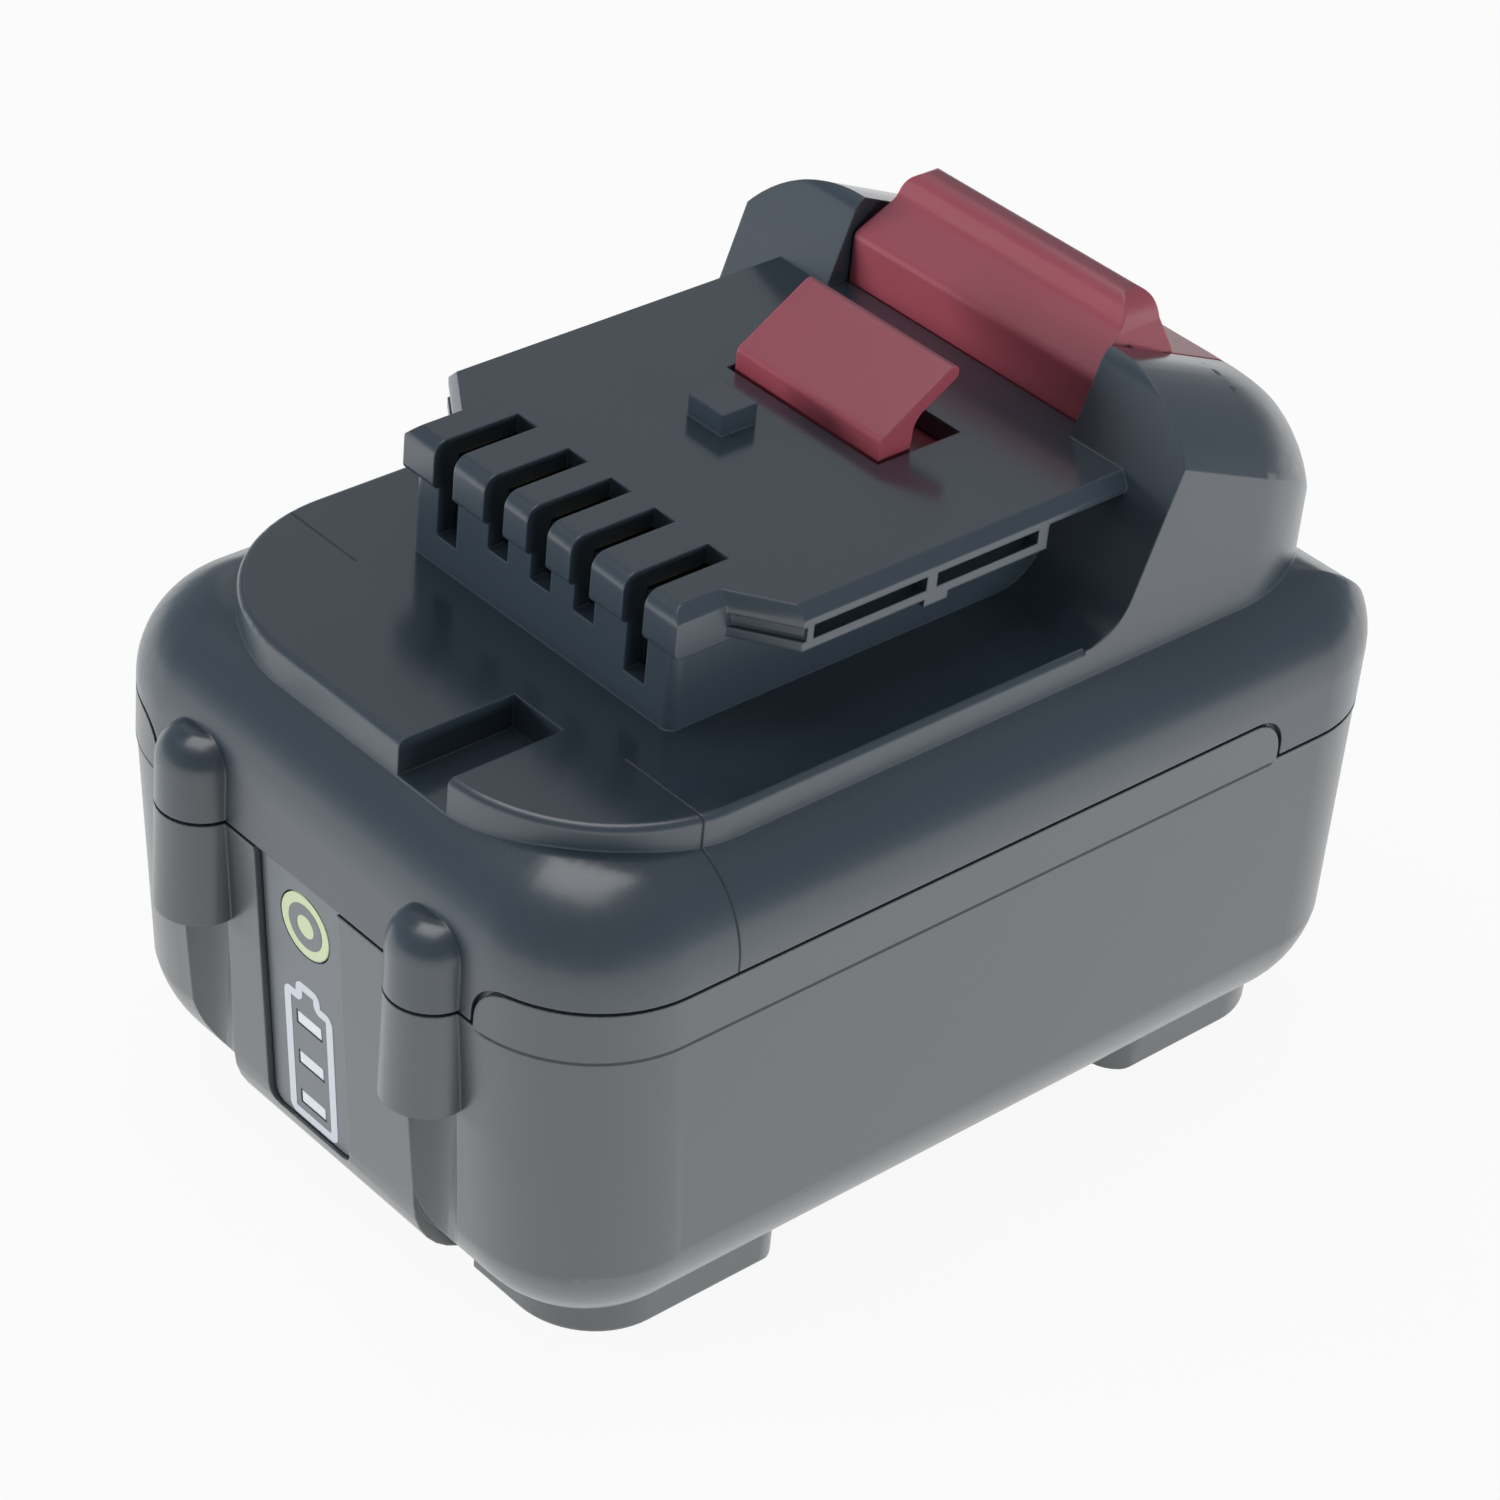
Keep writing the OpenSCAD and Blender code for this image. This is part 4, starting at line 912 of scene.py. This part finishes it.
@dataclass
class ChargeGauge:
    """Charge gauge on the front wall: panel, check button, bars and the print on them."""

    panel: Finish
    button: Finish
    guide: Finish
    ink_and_shade: Finish
    button_ink: Finish
    led: Finish
    switch: Finish
    plunger: Finish
    board: Finish
    ribbon: Finish
    centre_x: float = -2.3
    pivot_y: float = -54.6
    pivot_z: float = 41.5
    face_y: float = -53.8
    lean_degrees: float = 5.0
    line_w: float = 1.05
    body_hw: float = 3.3
    body_z: Span = (10.2, 25.7)
    nub_hw: float = 1.4
    nub_top: float = 27.3
    line_r: float = 0.55
    check_centre: Point = (0.2, 35.5)
    check_ring: Span = (1.3, 2.6)
    ink_t: float = 0.03
    ink_sink: float = 0.02

    def dress(self, dresser: Dresser) -> None:
        """Dress the gauge's CAD nodes."""
        dresser.node("gauge_label", self.panel)
        dresser.node("gauge_button", self.button)
        dresser.node("light_guide", self.guide)
        dresser.node("gauge_leds", self.led)
        dresser.node("check_switch", self.switch)
        dresser.node("switch_plunger", self.plunger)
        dresser.node("gauge_board", self.board)
        dresser.node("gauge_ribbon", self.ribbon)

    def build(self) -> None:
        """Build the print on the panel and on the check button."""
        low, high = self.body_z
        outline = round_corners(
            [
                (-self.body_hw, low),
                (self.body_hw, low),
                (self.body_hw, high),
                (self.nub_hw, high),
                (self.nub_hw, self.nub_top),
                (-self.nub_hw, self.nub_top),
                (-self.nub_hw, high),
                (-self.body_hw, high),
            ],
            self.line_r,
        )
        half = 0.5 * self.line_w
        self._print(
            "battery_print",
            offset_path(outline, -half),
            offset_path(outline, half),
            self.ink_and_shade,
            "case",
        )
        inner, outer = self.check_ring
        self._print(
            "check_print",
            circle(self.check_centre, outer),
            circle(self.check_centre, inner),
            self.button_ink,
            "gauge_button",
        )

    def _print(
        self,
        name: str,
        outside: Sequence[Point],
        inside: Sequence[Point],
        ink_and_shade: Finish,
        body: str,
    ) -> None:
        """Lay a ring of ink on the leaned face of the gauge.

        Args:
            name: Name of the piece.
            outside: Outer edge, as points across and up the face.
            inside: Inner edge, with as many points.
            ink_and_shade: Finish of the ink.
            body: CAD body that carries it.
        """
        mesh = bmesh.new()
        under, over = (self.face_y + self.ink_sink) * MM, (self.face_y - self.ink_t) * MM
        section = ((under, outside), (over, outside), (over, inside), (under, inside))
        rings = []
        for y, points in section:
            rings.append([mesh.verts.new((x * MM, y, z * MM)) for x, z in points])
        for first, second in zip(rings, rings[1:] + rings[:1]):
            for i in range(len(first)):
                mesh.faces.new((first[i - 1], first[i], second[i], second[i - 1]))
        bmesh.ops.recalc_face_normals(mesh, faces=mesh.faces)
        mesh.transform(self._lean())
        data = bpy.data.meshes.new(name)
        mesh.to_mesh(data)
        mesh.free()
        piece = bpy.data.objects.new(name, data)
        bpy.context.scene.collection.objects.link(piece)
        Dresser.paint(piece, ink_and_shade)
        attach(piece, body)
        LOG.info("printed %s", name)

    def _lean(self) -> Matrix:
        """Return the move from the upright face to the leaned wall."""
        there = Matrix.Translation((self.centre_x * MM, self.pivot_y * MM, self.pivot_z * MM))
        turn = Matrix.Rotation(math.radians(self.lean_degrees), 4, "X")
        back = Matrix.Translation((0.0, -self.pivot_y * MM, -self.pivot_z * MM))
        return there @ turn @ back


@dataclass
class CellBlock:
    """Ten cells with their holders, links, busbars, insulator and pad."""

    sleeve: Finish
    holder: Finish
    link: Finish
    busbar: Finish
    insulator: Finish
    pad: Finish
    bead: Finish
    count: int = 10

    def dress(self, dresser: Dresser) -> None:
        """Dress the cells and what holds and joins them."""
        for i in range(self.count):
            dresser.node(f"cell_{i + 1}", self.sleeve)
        dresser.group("cell_holder", self.holder)
        dresser.group("cell_link", self.link)
        for name in ("positive_busbar", "negative_busbar"):
            dresser.node(name, self.busbar)
        dresser.node("top_insulator", self.insulator)
        dresser.node("base_pad", self.pad)
        dresser.node("thermistor", self.bead)


@dataclass
class Electronics:
    """Main board, its parts, and the terminals in their carrier."""

    board: Finish
    parts: Finish
    contact: Finish
    terminals: int = 5

    def dress(self, dresser: Dresser) -> None:
        """Dress the board and the terminals."""
        dresser.node("main_board", self.board)
        dresser.node("board_parts", self.parts)
        dresser.node("terminal_carrier", self.parts)
        for i in range(self.terminals):
            dresser.node(f"terminal_{i + 1}", self.contact)


@dataclass(frozen=True)
class StudioFloor(Finish):
    """White floor: full white to the eye and in reflections, a plain pale floor to other light."""

    white_share: float = 0.92

    def dress(self, shader: Shader) -> None:
        """Add the floor's nodes."""
        eye = shader.node("ShaderNodeLightPath", {}, {}, "Is Camera Ray")
        gloss = shader.node("ShaderNodeLightPath", {}, {}, "Is Glossy Ray")
        through = shader.node("ShaderNodeLightPath", {}, {}, "Is Transmission Ray")
        plain = shader.node("ShaderNodeBsdfDiffuse", {}, {"Color": self.colour})
        white = shader.node("ShaderNodeEmission", {}, {"Color": WHITE, "Strength": 1.0})
        share = (eye + gloss + through).clamp() * self.white_share
        shader.node_out(shader.node("ShaderNodeMixShader", {}, {0: share, 1: plain, 2: white}))


@dataclass(frozen=True)
class Softbox:
    """Softbox that looks at the pack, with sizes in metres.

    Its brightness is how bright its face looks, where a white wall in plain light is 1.
    Shiny faces mirror it only with gloss.
    """

    name: str
    place: Triple
    width: float
    height: float
    brightness: float
    gloss: bool = True
    target: Triple = (0.0, 0.0, 0.045)

    def build(self) -> None:
        """Hang the lamp."""
        data = bpy.data.lights.new(self.name, "AREA")
        data.shape = "RECTANGLE"
        data.size, data.size_y = self.width, self.height
        data.energy = self.brightness * math.pi * self.width * self.height
        lamp = bpy.data.objects.new(self.name, data)
        bpy.context.scene.collection.objects.link(lamp)
        lamp.location = self.place
        aim = Vector(self.target) - Vector(self.place)
        lamp.rotation_euler = aim.to_track_quat("-Z", "Y").to_euler()
        lamp.visible_glossy = self.gloss


@dataclass
class Studio:
    """White floor, soft surroundings and softboxes."""

    floor: Finish
    softboxes: Sequence[Softbox]
    floor_m: float = 8.0
    sky: Colour = (0.21, 0.235, 0.26)

    def build(self) -> None:
        """Set up the floor, the surroundings and the lamps."""
        self._floor()
        self._surroundings()
        for softbox in self.softboxes:
            softbox.build()
        bpy.context.scene.view_settings.view_transform = "Standard"
        LOG.info("set the studio")

    def _floor(self) -> None:
        """Lay the floor under the feet."""
        half = 0.5 * self.floor_m
        mesh = bpy.data.meshes.new("studio_floor")
        mesh.from_pydata(
            [(-half, -half, 0.0), (half, -half, 0.0), (half, half, 0.0), (-half, half, 0.0)],
            [],
            [(0, 1, 2, 3)],
        )
        floor = bpy.data.objects.new("studio_floor", mesh)
        bpy.context.scene.collection.objects.link(floor)
        Dresser.paint(floor, self.floor)

    def _surroundings(self) -> None:
        """Fill the room with even, slightly cool light."""
        world = bpy.data.worlds.new("studio_room")
        world.use_nodes = True
        ground = world.node_tree.nodes["Background"]
        ground.inputs["Color"].default_value = (*self.sky, 1.0)
        ground.inputs["Strength"].default_value = 1.0
        bpy.context.scene.world = world


@dataclass
class PhotoCamera:
    """Camera at the photograph's viewpoint."""

    place_mm: Triple = (269.47, -266.28, 299.05)
    azimuth: float = 45.219
    elevation: float = 34.767
    roll: float = 5.870
    focal_px: float = 4568.12
    frame_px: float = 1500.0
    sensor_mm: float = 36.0
    clip_m: Span = (0.01, 50.0)

    def build(self) -> None:
        """Make the camera and give it to the scene."""
        data = bpy.data.cameras.new("photo_camera")
        data.sensor_width = self.sensor_mm
        data.sensor_fit = "HORIZONTAL"
        data.lens = self.focal_px / self.frame_px * data.sensor_width
        data.clip_start, data.clip_end = self.clip_m
        camera = bpy.data.objects.new("photo_camera", data)
        bpy.context.scene.collection.objects.link(camera)
        camera.matrix_world = self._stand()
        bpy.context.scene.camera = camera
        LOG.info("placed the camera")

    def _stand(self) -> Matrix:
        """Return the camera's place and turn from its angles."""
        angles = (self.azimuth, self.elevation, self.roll)
        turn, tilt, roll = (math.radians(angle) for angle in angles)
        level = Vector((math.cos(turn), math.sin(turn), 0.0))
        away = Vector((math.sin(turn), -math.cos(turn), 0.0))
        back = away * math.cos(tilt) + Vector((0.0, 0.0, math.sin(tilt)))
        rise = back.cross(level)
        right = level * math.cos(roll) + rise * math.sin(roll)
        up = rise * math.cos(roll) - level * math.sin(roll)
        stand = Matrix((right, up, back)).transposed().to_4x4()
        stand.translation = Vector(self.place_mm) * MM
        return stand


def main() -> None:
    """Dress the pack, wind its springs, print the gauge and set the studio."""
    logging.basicConfig(level=logging.INFO, format="%(message)s")
    steel = Metal("plated_steel", (0.62, 0.63, 0.65))
    black = MouldedPlastic("black_moulding", (0.02, 0.02, 0.023), roughness=0.45, specular=0.5)
    board = Laminate("green_laminate", (0.03, 0.16, 0.07))
    housing = MouldedPlastic(
        "housing_moulding",
        (0.025, 0.037, 0.05),
        roughness=0.34,
        specular=1.0,
        gloss_up=0.18,
        coat=0.5,
        seam=WitnessSeam(-34.6, 20.0),
    )
    case = MouldedPlastic(
        "case_moulding",
        (0.052, 0.06, 0.065),
        roughness=0.38,
        specular=1.0,
        coat=0.5,
        grain_depth_mm=0.011,
        ledge=LedgeLine(41.1, 24.0, 38.0),
    )
    enclosure = Enclosure(case, housing, steel)
    red = MouldedPlastic(
        "red_moulding", (0.255, 0.05, 0.07), roughness=0.36, specular=1.0, gloss_up=0.04
    )
    release = Release(red, black, steel)
    gauge = ChargeGauge(
        panel=Film("gauge_film", (0.14, 0.152, 0.165), roughness=0.4),
        button=MouldedPlastic(
            "check_rubber",
            (0.5, 0.56, 0.36),
            roughness=0.5,
            specular=0.5,
            gloss_up=0.0,
            painted_edge_highlight=0.1,
        ),
        guide=FrostedGuide("frosted_guide", (0.6, 0.63, 0.66)),
        ink_and_shade=Film("gauge_ink", (0.5, 0.53, 0.57), roughness=0.5),
        button_ink=Film("button_ink", (0.16, 0.17, 0.18), roughness=0.5),
        led=MouldedPlastic(
            "led_lens", (0.75, 0.73, 0.6), roughness=0.15, specular=0.5, painted_edge_highlight=0.05
        ),
        switch=black,
        plunger=black,
        board=board,
        ribbon=Film("flex_film", (0.5, 0.3, 0.07), roughness=0.3),
    )
    lengthwise: Triple = (1.0, 0.05, 1.0)
    cells = CellBlock(
        sleeve=Sleeve(
            "cell_sleeve", (0.06, 0.22, 0.4), steel=(0.6, 0.61, 0.63), bare_from_mm=32.2
        ),
        holder=MouldedPlastic("holder_moulding", (0.6, 0.57, 0.48), specular=0.5, painted_edge_highlight=0.1),
        link=Metal("nickel_strip", (0.68, 0.67, 0.65), roughness=0.3, stretch=lengthwise),
        busbar=Metal("copper_strip", (0.78, 0.4, 0.24), roughness=0.26, stretch=lengthwise),
        insulator=Film("barley_paper", (0.62, 0.56, 0.42), roughness=0.8, contrast=0.14),
        pad=Foam("pad_foam", (0.05, 0.052, 0.056)),
        bead=black,
    )
    brass = Metal("plated_brass", (0.78, 0.6, 0.28), roughness=0.22)
    electronics = Electronics(board, black, brass)
    softboxes = (
        Softbox("top_softbox", (-0.15, -0.05, 1.2), 0.9, 0.9, brightness=1.7),
        Softbox("rear_softbox", (-0.85, 0.85, 0.85), 1.3, 0.9, brightness=0.13),
        Softbox("right_fill", (1.25, 0.15, 0.16), 1.2, 0.3, brightness=11.0, gloss=False),
        Softbox("front_fill", (-0.95, -0.9, 0.14), 1.0, 0.3, brightness=24.0, gloss=False),
    )

    dresser = Dresser(frame["nodes"])
    for assembly in (enclosure, release, gauge, cells, electronics):
        assembly.dress(dresser)
    release.build()
    gauge.build()
    Studio(StudioFloor("studio_white", (0.86, 0.86, 0.86)), softboxes).build()
    PhotoCamera().build()
    LOG.info("nodes left bare: %s", dresser.bare())


if __name__ == "__main__":
    main()
